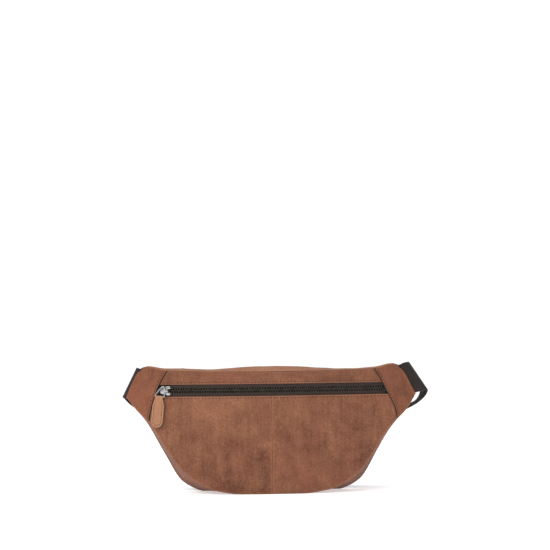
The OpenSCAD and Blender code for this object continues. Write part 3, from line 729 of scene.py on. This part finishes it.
def top_strip(back):
    name = "top_strip_back" if back else "top_strip_front"
    x = mix(-149, 149, spread(298, 1.8))
    if back:
        z = curve(BACK_HIGH, x)
        y0, y1 = window_edge(x, 1), back_face(x, z) - LEATHER - GAP
        t = spread(8, 0.7)[None, :]
        y = mix(y0[:, None], y1[:, None], t)
        z = np.broadcast_to(z[:, None], y.shape)
    else:
        z0 = curve(FRONT_HIGH, x)
        y0, y1 = front_face(x, z0) + LEATHER + GAP, window_edge(x, -1)
        t = spread(30, 1.0)[None, :]
        y = mix(y0[:, None], y1[:, None], t)
        up = np.sin(math.pi / 2 * np.minimum(1, t / CREST_SHARE))
        down = smooth((t - CREST_SHARE) / (1 - CREST_SHARE))
        lifted = curve(CREST, x) + 1.0 * dent(x, -104, 26) - 0.7 * dent(x, 100, 24)
        z = mix(mix(z0[:, None], lifted[:, None], up), curve(BACK_HIGH, x)[:, None], down)
    grid = np.stack([np.broadcast_to(x[:, None], y.shape), y, z], -1)
    _, _, low, high = edge_distances(grid)
    at_zip = low if back else high
    at_seam = high if back else low
    open_here = 1 - smooth((np.abs(grid[..., 0]) - MAIN_HALF) / 6)
    drop = roundover(at_zip, 0.8) + roundover(at_seam, 1.2)
    paint = 0.75 * np.clip(1.2 - at_seam / 0.5, 0, 1)
    drop += 0.28 * dent(at_zip, STITCH_IN, 0.55) * open_here
    drop -= smooth(np.minimum(low, high) / 5) * (0.35 * ripple(grid[..., 0], grid[..., 1], 30, 51 + back)
                                                 + 0.1 * ripple(grid[..., 0], grid[..., 1], 9, 53))
    # the top look is painted lighter than the panel's leather, as painted light on this upward face
    outer, n = leather(name, grid, 1, drop, "top", paint)
    row = np.argmin(np.abs(at_zip[len(x) // 2] - STITCH_IN))
    keep = np.abs(x) < MAIN_HALF
    stitches(name + "_stitches", outer[keep, row], n[keep, row], "shell", sink=-0.02)


# ---------------------------------------------------------------- inside

FOAM = 4
LINING = 0.8
INSIDE_TOP = 136


def inner_sheet(name, face, depth, thick, x_out, low, top, out, look, waves):
    """A sewn-in sheet laid at a depth behind a face, slack by up to waves."""
    x = np.linspace(-x_out, x_out, 100)
    x, z = columns(x, np.linspace(0, 1, 50), low, lambda v: np.full_like(v, top))
    grid = face(x, z) + np.array([0, depth, 0])
    edge = np.minimum.reduce(edge_distances(grid))
    drop = 0.3 * roundover(edge, 1.0) + waves * smooth(edge / 12) * (0.5 + 0.5 * ripple(x, z, 22, 61))
    return sheet_piece(name, grid, out, thick, drop, look)


def inside():
    inner_sheet("pocket_divider", on_front_face, 17, LINING, 122, lambda v: curve(FRONT_LOW, v) + 8, 137, 1,
                "lining", 0.8)
    low = lambda v: curve(BACK_LOW, v) + 7
    foam = inner_sheet("back_foam", on_back_face, -LEATHER - GAP, FOAM, 134, low, INSIDE_TOP, -1,
                       "foam", 0.3)
    inner_sheet("back_lining", on_back_face, -LEATHER - FOAM - 2 * GAP, LINING, 134, low, INSIDE_TOP, -1,
                "lining", 0.15)


# ---------------------------------------------------------------- zips

class Zip:
    """A place along a zip: local points are (along, outward, up)."""

    def __init__(self, main):
        self.main = main

    def place(self, x, points):
        points = np.asarray(points, float)
        if self.main:
            origin = np.array([x, MAIN_Y, MAIN_Z])
            axes = np.array([[1, 0, 0], [0, 0, 1], [0, -1, 0]], float)
        else:
            a = math.asin(x / FRONT_R)
            origin = np.array([FRONT_R * math.sin(a), ARC_Y - FRONT_R * math.cos(a), ZIP_Z])
            axes = np.array([[math.cos(a), math.sin(a), 0], [math.sin(a), -math.cos(a), 0], [0, 0, 1]])
        return origin + points @ axes


FRONT_ZIP, MAIN_ZIP = Zip(False), Zip(True)
FRONT_SLIDER, MAIN_SLIDER = -125, -105
TOOTH_PITCH = 3
OPEN_END = 2             # the chain starts this far right of a slider's centre
TAPE_W = (-3.1, -2.3)    # the tape's inner and outer face
TAPE_FROM = 3.1


def tape(name, zipper, x0, x1, reach):
    """Half a zip's tape, from the teeth to its reach, with a raised cord along the teeth."""
    x = np.linspace(x0, x1, 180)
    side = 1 if reach > 0 else -1
    z = side * (TAPE_FROM + np.array([0, 0.15, 0.4, 0.9, 1.5, 2.2, 3.2, 4.4, abs(reach) - TAPE_FROM]))
    lift = (0.25, 0.34, 0.34, 0.2, 0.05, 0, 0, 0, 0)
    outer_face = np.array([zipper.place(a, [(0, TAPE_W[1] + h, b) for b, h in zip(z, lift)]) for a in x])
    inner_face = np.array([zipper.place(a, [(0, TAPE_W[0], b) for b in z]) for a in x])
    across, up = outer_face[0, 1] - outer_face[0, 0], outer_face[0, 0] - inner_face[0, 0]
    flip = np.dot(np.cross(outer_face[1, 0] - outer_face[0, 0], across), up) <= 0
    points, faces = two_layers(outer_face, inner_face, flip)
    return add_mesh(name, points, faces, "shell", LOOKS["tape"], [name], lay(x, z))


def superellipse(angle, power):
    """The point at an angle of a rounded square that reaches 1 to each side."""
    c, s = math.cos(angle), math.sin(angle)
    k = (abs(c)**power + abs(s)**power)**(-1 / power)
    return k * c, k * s


TOOTH_SIDES = 10
# the tooth's height, half length, innermost and outermost point, and shift along the zip at each ring
TOOTH_RINGS = ((3.25, 0.5, -3.3, -2.1, 0.30), (3.0, 0.78, -3.7, -1.72, 0.26), (2.3, 0.76, -3.8, -1.6, 0.18),
               (1.3, 0.62, -3.8, -1.6, 0.08), (0.5, 0.52, -3.7, -1.66, 0.02), (-0.2, 0.66, -3.6, -1.72, 0.0),
               (-0.75, 0.56, -3.4, -1.95, 0.0), (-0.95, 0.25, -3.0, -2.4, 0.0))


def tooth_shape(side):
    """A tooth from its grip on the tape to its head, as rings of (along, outward, up)."""
    points = []
    for up, half, low, high, shift in TOOTH_RINGS:
        for a in around(TOOTH_SIDES):
            c, s = superellipse(a, 3)
            points.append((shift + half * c, (low + high) / 2 + (high - low) / 2 * s, side * up))
    return np.array(points)


def teeth(name, zipper, start, count, side):
    """One side's teeth; the other side's stand half a pitch further on."""
    shape = tooth_shape(side)
    faces = rod_faces(len(TOOTH_RINGS), TOOTH_SIDES)
    if side < 0:
        faces = [f[::-1] for f in faces]
    first = start + (0 if side > 0 else TOOTH_PITCH / 2)
    points, faces = merge([(zipper.place(first + i * TOOTH_PITCH, shape), faces) for i in range(count)])
    return add_mesh(name, points, faces, "shell", LOOKS["teeth"], [name])


def box_mesh(low, high):
    """Corner points and quads of a box in a zip's own directions."""
    quads = [[0, 1, 3, 2], [4, 6, 7, 5], [0, 4, 5, 1], [2, 3, 7, 6], [0, 2, 6, 4], [1, 5, 7, 3]]
    return list(itertools.product(*zip(low, high))), quads


def prism(outline, w0, w1):
    """An outline of (along, up), solid between two heights above the zip."""
    n = len(outline)
    quads = [[i, (i + 1) % n, n + (i + 1) % n, n + i] for i in range(n)]
    quads += [list(range(n))[::-1], list(range(n, 2 * n))]
    return [(a, w, b) for w in (w0, w1) for a, b in outline], quads


def slider_outline():
    """A plate's outline: round nose, widening to two shoulders with a notch between them."""
    nose = [(-2.9 - 3.6 * math.cos(a), 3.6 * math.sin(a)) for a in np.linspace(0, 1.35, 8)]
    half = nose + [(-1.2, 4.0), (0.6, 4.75), (2.2, 5.2), (3.2, 5.3), (5.6, 5.3), (6.2, 5.1), (6.5, 4.5),
                   (6.5, 2.6), (6.2, 2.2), (4.6, 2.0), (3.6, 1.7), (2.9, 1.0), (2.7, 0)]
    return half + [(a, -b) for a, b in reversed(half[1:-1])]


ARCH_SIDES, ARCH_THICK, ARCH_WIDE = 12, 0.55, 1.55
ARCH_HALF = [(-4.5, -0.2), (-4.45, 1.2), (-4.1, 2.7), (-3.2, 3.95), (-1.8, 4.6)]
ARCH = ARCH_HALF + [(0, 4.75)] + [(-a, w) for a, w in reversed(ARCH_HALF)]


def slider_arch():
    """The bar over a slider that holds the pull ring."""
    points = []
    for i, (a, w) in enumerate(ARCH):
        d = unit(np.subtract(ARCH[min(len(ARCH) - 1, i + 1)], ARCH[max(0, i - 1)]))
        for turn in around(ARCH_SIDES):
            c, s = superellipse(turn, 4)
            points.append((a - d[1] * ARCH_THICK * c, w + d[0] * ARCH_THICK * c, ARCH_WIDE * s))
    return points, rod_faces(len(ARCH), ARCH_SIDES)


def bevel(obj, width, angle=35):
    m = obj.modifiers.new("rounded", "BEVEL")
    m.width = width * MM
    m.segments = 3
    m.limit_method = "ANGLE"
    m.angle_limit = math.radians(angle)
    m.harden_normals = False
    return obj


def nickel(name, zipper, x, body, points, faces):
    """A bright metal piece from points of a zip's own at x."""
    return add_mesh(name, zipper.place(x, points), faces, body, LOOKS["nickel"], [name],
                    turn_out=True)


def slider(name, zipper, x):
    outline = slider_outline()
    parts = [prism(outline, -1.0, 0.4), prism(outline, -5.8, -4.4), slider_arch(),
             box_mesh((-5, -4.5, -1.2), (-2.6, -0.9, 1.2))]
    for s in (-1, 1):
        z0, z1 = sorted((s * 4.2, s * 5.3))
        parts += [box_mesh((1.5, -1.9, z0), (6.0, -0.9, z1)), box_mesh((1.5, -4.5, z0), (6.0, -3.5, z1))]
    return bevel(nickel(name, zipper, x, name, *merge(parts)), 0.28)


def filleted(corners, radius, steps=7):
    """The corners of a closed polygon, each replaced by a small arc."""
    corners = np.asarray(corners, float)
    out = []
    for i, c in enumerate(corners):
        before, after = corners[i - 1] - c, corners[(i + 1) % len(corners)] - c
        a, b = unit(before), unit(after)
        cut = min(radius / math.tan(math.acos(np.clip(a @ b, -1, 1)) / 2),
                  0.45 * np.linalg.norm(before), 0.45 * np.linalg.norm(after))
        out += [bezier(c + a * cut, c, c + b * cut, t) for t in np.linspace(0, 1, steps)]
    return np.array(out)


BAR, SLANT = 12.5, math.tan(math.radians(5))
RING_W, WIRE_R = 2.8, 0.72
FRONT_DROP, MAIN_DROP = 7.5, 15


def ring(name, zipper, x, body, drop, slant):
    """A wire bent through a slider's arch, with its bar for the tab at drop below."""
    line = filleted([(0, 4.6), (-3, 4.6), (-7.5, 0), (-BAR, -drop + BAR * slant), (0, -drop)], 1.7)
    local = np.stack([line[:, 0], np.full(len(line), RING_W), line[:, 1]], -1)
    return nickel(name, zipper, x, body, *tube(local, (0, 1, 0), WIRE_R))


TAB_L, TAB_W, TAB_T, NECK = 36, 14.4, 2.4, 9.4
TAB_R = TAB_W / 2
TAB_END = TAB_R - TAB_L  # where the tab's round end starts
GROOVE_IN = 2.1          # the stitched groove runs this far from the tab's edge
LOOP_R, LOOP_INNER_R, LOOP_LOW = 1.42, 0.80, -3.4


def tab_half(z):
    """Half the tab's width at height z below its bar."""
    body = mix(NECK / 2, TAB_R, smooth((-z - 0.5) / 11))
    return np.where(z < TAB_END, np.sqrt(np.maximum(TAB_R**2 - (z - TAB_END)**2, 0)), body)


def tab_loop():
    """One sheet that comes up in front of the ring's bar, over it and down behind it."""
    angle = np.linspace(-0.35, math.pi + 0.35, 22)
    layers = []
    for radius in (LOOP_R, LOOP_INNER_R):
        foot = TAB_T / 2 - (LOOP_R - radius)
        y = np.concatenate([[-foot], -radius * np.cos(angle), [foot]])
        z = np.concatenate([[LOOP_LOW], radius * np.sin(angle), [LOOP_LOW]])
        x, y = np.meshgrid(np.linspace(-NECK / 2, NECK / 2, 14), y, indexing="ij")
        layers.append(np.stack([x, y, np.broadcast_to(z, x.shape)], -1))
    return two_layers(*layers)


def pull_tab(name, matrix, body):
    """Two layers of leather sewn together below a loop round the ring's bar."""
    turn, move = np.array(matrix.to_3x3()).T, np.array(matrix.translation)
    arc = TAB_END - TAB_R * np.sin(np.linspace(0, math.pi / 2, 26))
    z = np.concatenate([np.linspace(-1.6, TAB_END, 60)[:-1], arc])
    half = tab_half(z)[:, None]
    x = half * (spread(TAB_W, 0.6) * 2 - 1)[None, :]
    z = np.broadcast_to(z[:, None], x.shape)
    d = np.maximum(np.where(z < TAB_END, TAB_R - np.hypot(x, z - TAB_END), half - np.abs(x)), 0)
    neck = smooth((-z - 3.0) / 5.0)
    thick = TAB_T / 2 - roundover(d, 0.75) - 0.32 * dent(d, GROOVE_IN, 0.5) * neck
    thick = np.maximum(thick + 0.16 * smooth((d - 2.6) / 2.5) + 0.05 * ripple(x, z, 7, 71), 0.12)
    loop = tab_loop()
    leather_sheet = two_layers(np.stack([x, -thick, z], -1), np.stack([x, thick, z], -1), True)
    points, faces = merge([leather_sheet, loop])
    paint = np.clip(1.25 - d / 0.4, 0, 1) * 0.85 + 0.5 * dent(d, GROOVE_IN, 0.35) * neck
    rest = np.ones(len(loop[0]))
    add_mesh(name, points @ turn + move, faces, body, LOOKS["suede"], [name],
             {"edge": np.concatenate([np.tile(d.ravel(), 2), 1.2 * rest]),
              "paint": np.clip(np.concatenate([np.tile(paint.ravel(), 2), 0 * rest]), 0, 1)}, turn_out=True)
    inset = TAB_R - GROOVE_IN
    left = [(GROOVE_IN - tab_half(v), v) for v in np.linspace(-6.5, TAB_END, 30)]
    bottom = [(-inset * math.cos(a), TAB_END - inset * math.sin(a))
              for a in np.linspace(0, math.pi, 24)[1:-1]]
    right = [(-a, b) for a, b in reversed(left)]
    for key, face in (("front", -1), ("rear", 1)):
        line = np.array([(a, face * (TAB_T / 2 - 0.30), b) for a, b in left + bottom + right]) @ turn + move
        up = np.array([0, face, 0]) @ turn
        stitches(f"{name}_stitches_{key}", line, np.tile(up, (len(line), 1)), body, pitch=2.9, length=2.1,
                 width=0.55, shade_pits=False, look="dark_thread")


def zip_matrix(zipper, x, local):
    """Local CAD axes (X, Y, Z) of a zip frame, with -Y outward, at a local point."""
    ex, ew, ez = (zipper.place(x, p) - zipper.place(x, (0, 0, 0)) for p in np.eye(3))
    m = Matrix((ex, -ew, ez)).transposed().to_4x4()
    m.translation = Vector(zipper.place(x, (local[0], -local[1], local[2])))
    return m


def zips():
    for name, zipper, x0, x1, reach in (("front_zip_tape_upper", FRONT_ZIP, -136, 137, 9.8),
                                        ("front_zip_tape_lower", FRONT_ZIP, -136, 137, -9.8),
                                        ("main_zip_tape_front", MAIN_ZIP, -116, 116, 8.3),
                                        ("main_zip_tape_back", MAIN_ZIP, -116, 116, -8)):
        tape(name, zipper, x0, x1, reach)
    for name, zipper, start, count, side in (("front_zip_teeth_upper", FRONT_ZIP, FRONT_SLIDER, 86, 1),
                                             ("front_zip_teeth_lower", FRONT_ZIP, FRONT_SLIDER, 86, -1),
                                             ("main_zip_teeth_front", MAIN_ZIP, MAIN_SLIDER, 71, 1),
                                             ("main_zip_teeth_back", MAIN_ZIP, MAIN_SLIDER, 71, -1)):
        teeth(name, zipper, start + OPEN_END, count, side)
    slider("front_slider", FRONT_ZIP, FRONT_SLIDER)
    slider("main_slider", MAIN_ZIP, MAIN_SLIDER)
    ring("front_pull_ring", FRONT_ZIP, FRONT_SLIDER, "front_ring", FRONT_DROP, SLANT)
    ring("main_pull_ring", MAIN_ZIP, MAIN_SLIDER, "main_ring", MAIN_DROP, 0)
    turn = Matrix.Rotation(math.radians(5), 4, "Y") @ Matrix.Rotation(math.radians(-2), 4, "X")
    hang = zip_matrix(FRONT_ZIP, FRONT_SLIDER, (-BAR / 2, -RING_W, -FRONT_DROP + BAR * SLANT / 2))
    pull_tab("front_pull_tab", hang @ turn, "front_tab")
    hang = Matrix.Translation((MAIN_SLIDER - BAR / 2, MAIN_Y + MAIN_DROP, MAIN_Z + RING_W))
    pull_tab("main_pull_tab", hang @ Matrix.Rotation(math.radians(6), 4, "X"), "main_tab")
    for node in ("front_zip_stops", "main_zip_stops"):
        dress(node, "teeth", 0.35)


def dress(node, look, rounding):
    """A CAD node that stays gets its material and softer edges."""
    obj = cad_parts[node]
    obj.data.materials.clear()
    obj.data.materials.append(LOOKS[look])
    return bevel(obj, rounding, angle=30)


# ---------------------------------------------------------------- belt

WEB_W, WEB_T, BELT_Y = 40, 1.6, 54
NEAR_Y, FAR_Y = BELT_Y - WEB_W / 2, BELT_Y + WEB_W / 2
MOUTH_X, BUCKLE_Z, TURN_R = -30, 6.2, 3.05
FEMALE_BAR, MALE_BAR = MOUTH_X - 46, MOUTH_X + 20
LIE_Z, FLOOR_Z, SLACK_X = 2.6, 1.2, 40
TAIL_Z, TAIL_END = LIE_Z + WEB_T + 0.4, 58
BEND_STEPS = 8           # a strap has this many stations between two points of its route


def level(path, y):
    return [(x, y, z) for x, z in path]


# the near and far edges of each strap, from its sewn end; both lie level from RIGHT_FLAT on
RIGHT_FLAT = [(103, 17), (96, 6), (86, FLOOR_Z), (78, FLOOR_Z + 0.2), (68, LIE_Z), (56, LIE_Z),
              (SLACK_X, LIE_Z), (20, LIE_Z), (0.2, LIE_Z)]
RIGHT_NEAR = [
    (159.5, 13.2, 107.5), (172.9, 13.4, 113.8), (181, 13.4, 116.2), (188.3, 15, 117.6), (190.6, 19, 117),
    (189.5, 22.5, 112.5), (186, 24.6, 108), (180, 26.3, 103), (173, 27.4, 98.8), (165, 28.3, 94.6),
    (148, 30, 83.5), (127, 32, 58), (112, 33.5, 35)]
RIGHT_FAR = [
    (139.5, 11, 140), (153.2, 12.8, 147.2), (160.5, 12.4, 150.6), (166, 14.2, 151.8), (169.3, 25, 150.8),
    (175.5, 43, 144), (184.5, 56, 133.5), (188.5, 62.5, 118), (184, 65.4, 105.6), (174, 67.2, 99),
    (151, 70, 85), (127, 72, 58), (112, 73.5, 35)]
LEFT_NEAR = [
    (-159.5, 13.2, 107.5), (-169.5, 13.5, 112.4), (-174.6, 13.8, 113.4), (-177.6, 17.2, 113.6),
    (-175.8, 21.2, 111.5), (-170, 25.8, 105), (-160, 28, 97), (-148, 29.6, 84.5), (-133, 31, 66),
    (-117, 32.5, 43), (-104, 33.5, 25)]
LEFT_FAR = [
    (-139.5, 11, 140.5), (-150.5, 12.6, 145.8), (-156, 12.4, 147.6), (-160, 15.6, 148.8),
    (-160.5, 28, 147), (-160.5, 46, 138), (-158, 61.4, 118), (-148.5, 69, 92), (-133, 71, 66),
    (-117, 72.5, 43), (-104, 73.5, 25)]


def half_turn(x, side):
    """A half turn round a buckle bar, from below to above."""
    return [(x + side * TURN_R * math.cos(math.radians(a)), BUCKLE_Z + TURN_R * math.sin(math.radians(a)))
            for a in (-90, -45, 0, 45, 90)]


def finely(points):
    """A Catmull-Rom curve through the points."""
    p = np.array(points, float)
    out = []
    for i in range(len(p) - 1):
        a, b, c, d = p[max(0, i - 1)], p[i], p[i + 1], p[min(len(p) - 1, i + 2)]
        for t in np.arange(BEND_STEPS) / BEND_STEPS:
            out.append(0.5 * (2 * b + (c - a) * t + (2 * a - 5 * b + 4 * c - d) * t**2
                              + (3 * b - a - 3 * c + d) * t**3))
    return np.array(out + [p[-1]])


RIB, RIB_PITCH = 0.13, 2.0


def webbing(name, near, far, flat, replaces, body="shell"):
    """A strap between two edges that end level: ribbed faces, thin selvedges and rounded sides."""
    a, b = finely(near + level(flat, NEAR_Y)), finely(far + level(flat, FAR_Y))
    run = np.concatenate([[0], np.cumsum(np.linalg.norm(np.diff((a + b) / 2, axis=0), axis=1))])
    t = np.concatenate([[0, 0.006, 0.015], np.linspace(0.03, 0.97, 76), [0.985, 0.994, 1]])
    middle = mix(a[:, None], b[:, None], t[None, :, None])
    n = unit(np.cross(np.gradient(a + b, axis=0), b - a))[:, None]
    across = t * WEB_W
    edge = np.minimum(across, WEB_W - across)
    rib = RIB * np.cos(2 * math.pi * across / RIB_PITCH) * smooth((edge - 1) / 1.5)
    half = WEB_T / 2 - RIB + rib - roundover(edge, 0.66)
    half = np.broadcast_to(half, middle.shape[:2]) + 0.03 * ripple(run[:, None], across[None, :], 5, 81)
    points, faces = two_layers(middle + n * half[..., None], middle - n * half[..., None])
    return add_mesh(name, points, faces, body, LOOKS["webbing"], replaces, lay(run, across),
                    turn_out=True)


def belt():
    left_end = ([(-94, 14), (FEMALE_BAR - 8, BUCKLE_Z + TURN_R + 1)] + half_turn(FEMALE_BAR, 1)[::-1]
                + [(FEMALE_BAR - 6, BUCKLE_Z - TURN_R + 0.6), (FEMALE_BAR - 13, 7.4),
                   (FEMALE_BAR - 20, 12.4), (FEMALE_BAR - 26, 19)])
    webbing("webbing_left", LEFT_NEAR, LEFT_FAR, left_end, ["webbing_left"])
    right = webbing("webbing_right", RIGHT_NEAR, RIGHT_FAR, RIGHT_FLAT, ["webbing_right", "webbing_slack"],
                    body=None)
    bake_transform(right)
    tail = ([(0, LIE_Z), (MALE_BAR + 5, LIE_Z + 0.3)] + half_turn(MALE_BAR, -1)
            + [(MALE_BAR + 8, BUCKLE_Z + TURN_R - 0.9), (MALE_BAR + 16, TAIL_Z + 0.8),
               (MALE_BAR + 24, TAIL_Z), (TAIL_END - 20, TAIL_Z), (TAIL_END, TAIL_Z)])
    webbing("webbing_tail", [], [], tail, ["webbing_tail"], "buckle_male")
    keeper()
    for node in ("buckle_female", "buckle_male", "buckle_arm_front", "buckle_arm_back"):
        dress(node, "plastic", 0.5)


BAND_T = 1
BAND_RIDGE, BAND_PITCH = 0.1, 1.4


def keeper():
    """An elastic band round both layers of the strap."""
    low, high = (np.array(c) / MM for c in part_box("strap_keeper"))
    middle, length = (low + high)[1:] / 2, high[0] - low[0]

    def outline(inset, radius):
        (y0, z0), (y1, z1) = low[1:] + inset, high[1:] - inset
        return filleted([(y0, z0), (y1, z0), (y1, z1), (y0, z1)], radius, 9)

    outer, inner = outline(0, 1.8), outline(BAND_T, 1.0)
    t = spread(length, 0.35)
    ridge = BAND_RIDGE * np.cos(2 * math.pi * t * length / BAND_PITCH)
    ridge -= roundover(np.minimum(t, 1 - t) * length, 0.45)
    loops = []
    for shape, rise in ((outer, 1), (inner, -1)):
        away = unit(shape - middle)
        pts = shape[:, None] + away[:, None] * (rise * (ridge - BAND_RIDGE))[None, :, None]
        x = np.broadcast_to(low[0] + t * length, pts.shape[:2])
        loops.append(np.concatenate([x[..., None], pts], -1))
    n, m = loops[0].shape[:2]
    faces = []
    for i in range(n):
        k = (i + 1) % n
        for j in range(m - 1):
            quad = [i * m + j, k * m + j, k * m + j + 1, i * m + j + 1]
            faces += [quad, [q + n * m for q in reversed(quad)]]
        for j in (0, m - 1):
            faces.append([i * m + j, k * m + j, k * m + j + n * m, i * m + j + n * m])
    run = np.cumsum(np.linalg.norm(outer - np.roll(outer, 1, 0), axis=1))
    return add_mesh("strap_keeper", np.concatenate(loops), faces, "keeper", LOOKS["elastic"],
                    ["strap_keeper"], lay(run, t * length), turn_out=True)


# ---------------------------------------------------------------- stage, in metres

LENS, SENSOR, PICTURE = 85, 36, 550      # millimetres, millimetres and steps across the picture
DISTANCE, TARGET = 1.527, Vector((0, -0.03, 0.0745))
TARGET_COLUMN, TARGET_ROW = 272, 430     # where the target shows
ELEVATION, YAW, ROLL = math.radians(3.0), math.radians(-1.5), math.radians(-0.75)
FLOOR_HALF = 12
PAPER_DARK, PAPER_LIGHT = (0.93, 0.93, 0.93, 1), (0.95, 0.95, 0.95, 1)
PAPER_GLOW = 0.5
WORLD_LIGHT, WORLD_SEEN = 0.62, 1.05     # the white surroundings' strength as light and as background
LIGHTS = (("key", (-1.1, -1.5, 1.5), (0, 0, 0.08), (1.2, 1.2), 26),
          ("top", (0.1, 0.1, 2.0), (0, 0, 0), (2.0, 2.0), 22))


def camera():
    data = bpy.data.cameras.new("camera")
    data.lens, data.sensor_width = LENS, SENSOR
    data.clip_start, data.clip_end = 0.05, 50
    obj = in_scene("camera", data)
    bpy.context.scene.camera = obj
    scale = SENSOR / LENS / PICTURE      # tangent of one step across the picture
    back = Vector((math.sin(YAW) * math.cos(ELEVATION), -math.cos(YAW) * math.cos(ELEVATION),
                   math.sin(ELEVATION)))
    obj.location = TARGET + back * DISTANCE
    aim = (-back).to_track_quat("-Z", "Y").to_matrix()
    spin = Matrix.Rotation(ROLL, 3, "Z")
    pan = Matrix.Rotation(math.atan((TARGET_COLUMN - PICTURE / 2) * scale), 3, "Y")
    tilt = Matrix.Rotation(math.atan((TARGET_ROW - PICTURE / 2) * scale), 3, "X")
    obj.rotation_mode = "QUATERNION"
    obj.rotation_quaternion = (aim @ spin @ pan @ tilt).to_quaternion()


def light(name, place, aim, size, power):
    data = bpy.data.lights.new(name, "AREA")
    data.shape = "RECTANGLE"
    data.size, data.size_y = size
    data.energy = power
    obj = in_scene(name, data)
    obj.location = place
    obj.rotation_mode = "QUATERNION"
    obj.rotation_quaternion = (Vector(aim) - Vector(place)).to_track_quat("-Z", "Y")


def studio():
    """White paper below, white all round, a key light at the upper left and a wide one above."""
    mesh = bpy.data.meshes.new("floor")
    r = FLOOR_HALF
    mesh.from_pydata([(-r, -r, 0), (r, -r, 0), (r, r, 0), (-r, r, 0)], [], [(0, 1, 2, 3)])
    floor = in_scene("floor", mesh)
    look = Look("pale_floor", Specular_IOR_Level=0.1, Emission_Color=(1, 1, 1, 1),
                Emission_Strength=PAPER_GLOW)
    paper = look.blend(look.fit(look.noise(3), 0.3, 0.7), PAPER_DARK, PAPER_LIGHT)
    mesh.materials.append(look.finish(paper, None, 0.9))
    world = bpy.data.worlds.new("studio")
    bpy.context.scene.world = world
    world.use_nodes = True
    tree = world.node_tree
    shade = tree.nodes["Background"]
    shade.inputs["Color"].default_value = (1, 1, 1, 1)
    ray = tree.nodes.new("ShaderNodeLightPath")
    strength = tree.nodes.new("ShaderNodeMapRange")
    strength.inputs["To Min"].default_value = WORLD_LIGHT
    strength.inputs["To Max"].default_value = WORLD_SEEN
    tree.links.new(ray.outputs["Is Camera Ray"], strength.inputs["Value"])
    tree.links.new(strength.outputs["Result"], shade.inputs["Strength"])
    for settings in LIGHTS:
        light(*settings)
    bpy.context.scene.view_settings.view_transform = "Standard"


camera()
studio()
for half in (-1, 1):
    front_panel(half)
    wing(half)
top_band()
zip_stitches()
back_panel()
gussets()
top_strip(False)
top_strip(True)
inside()
zips()
belt()
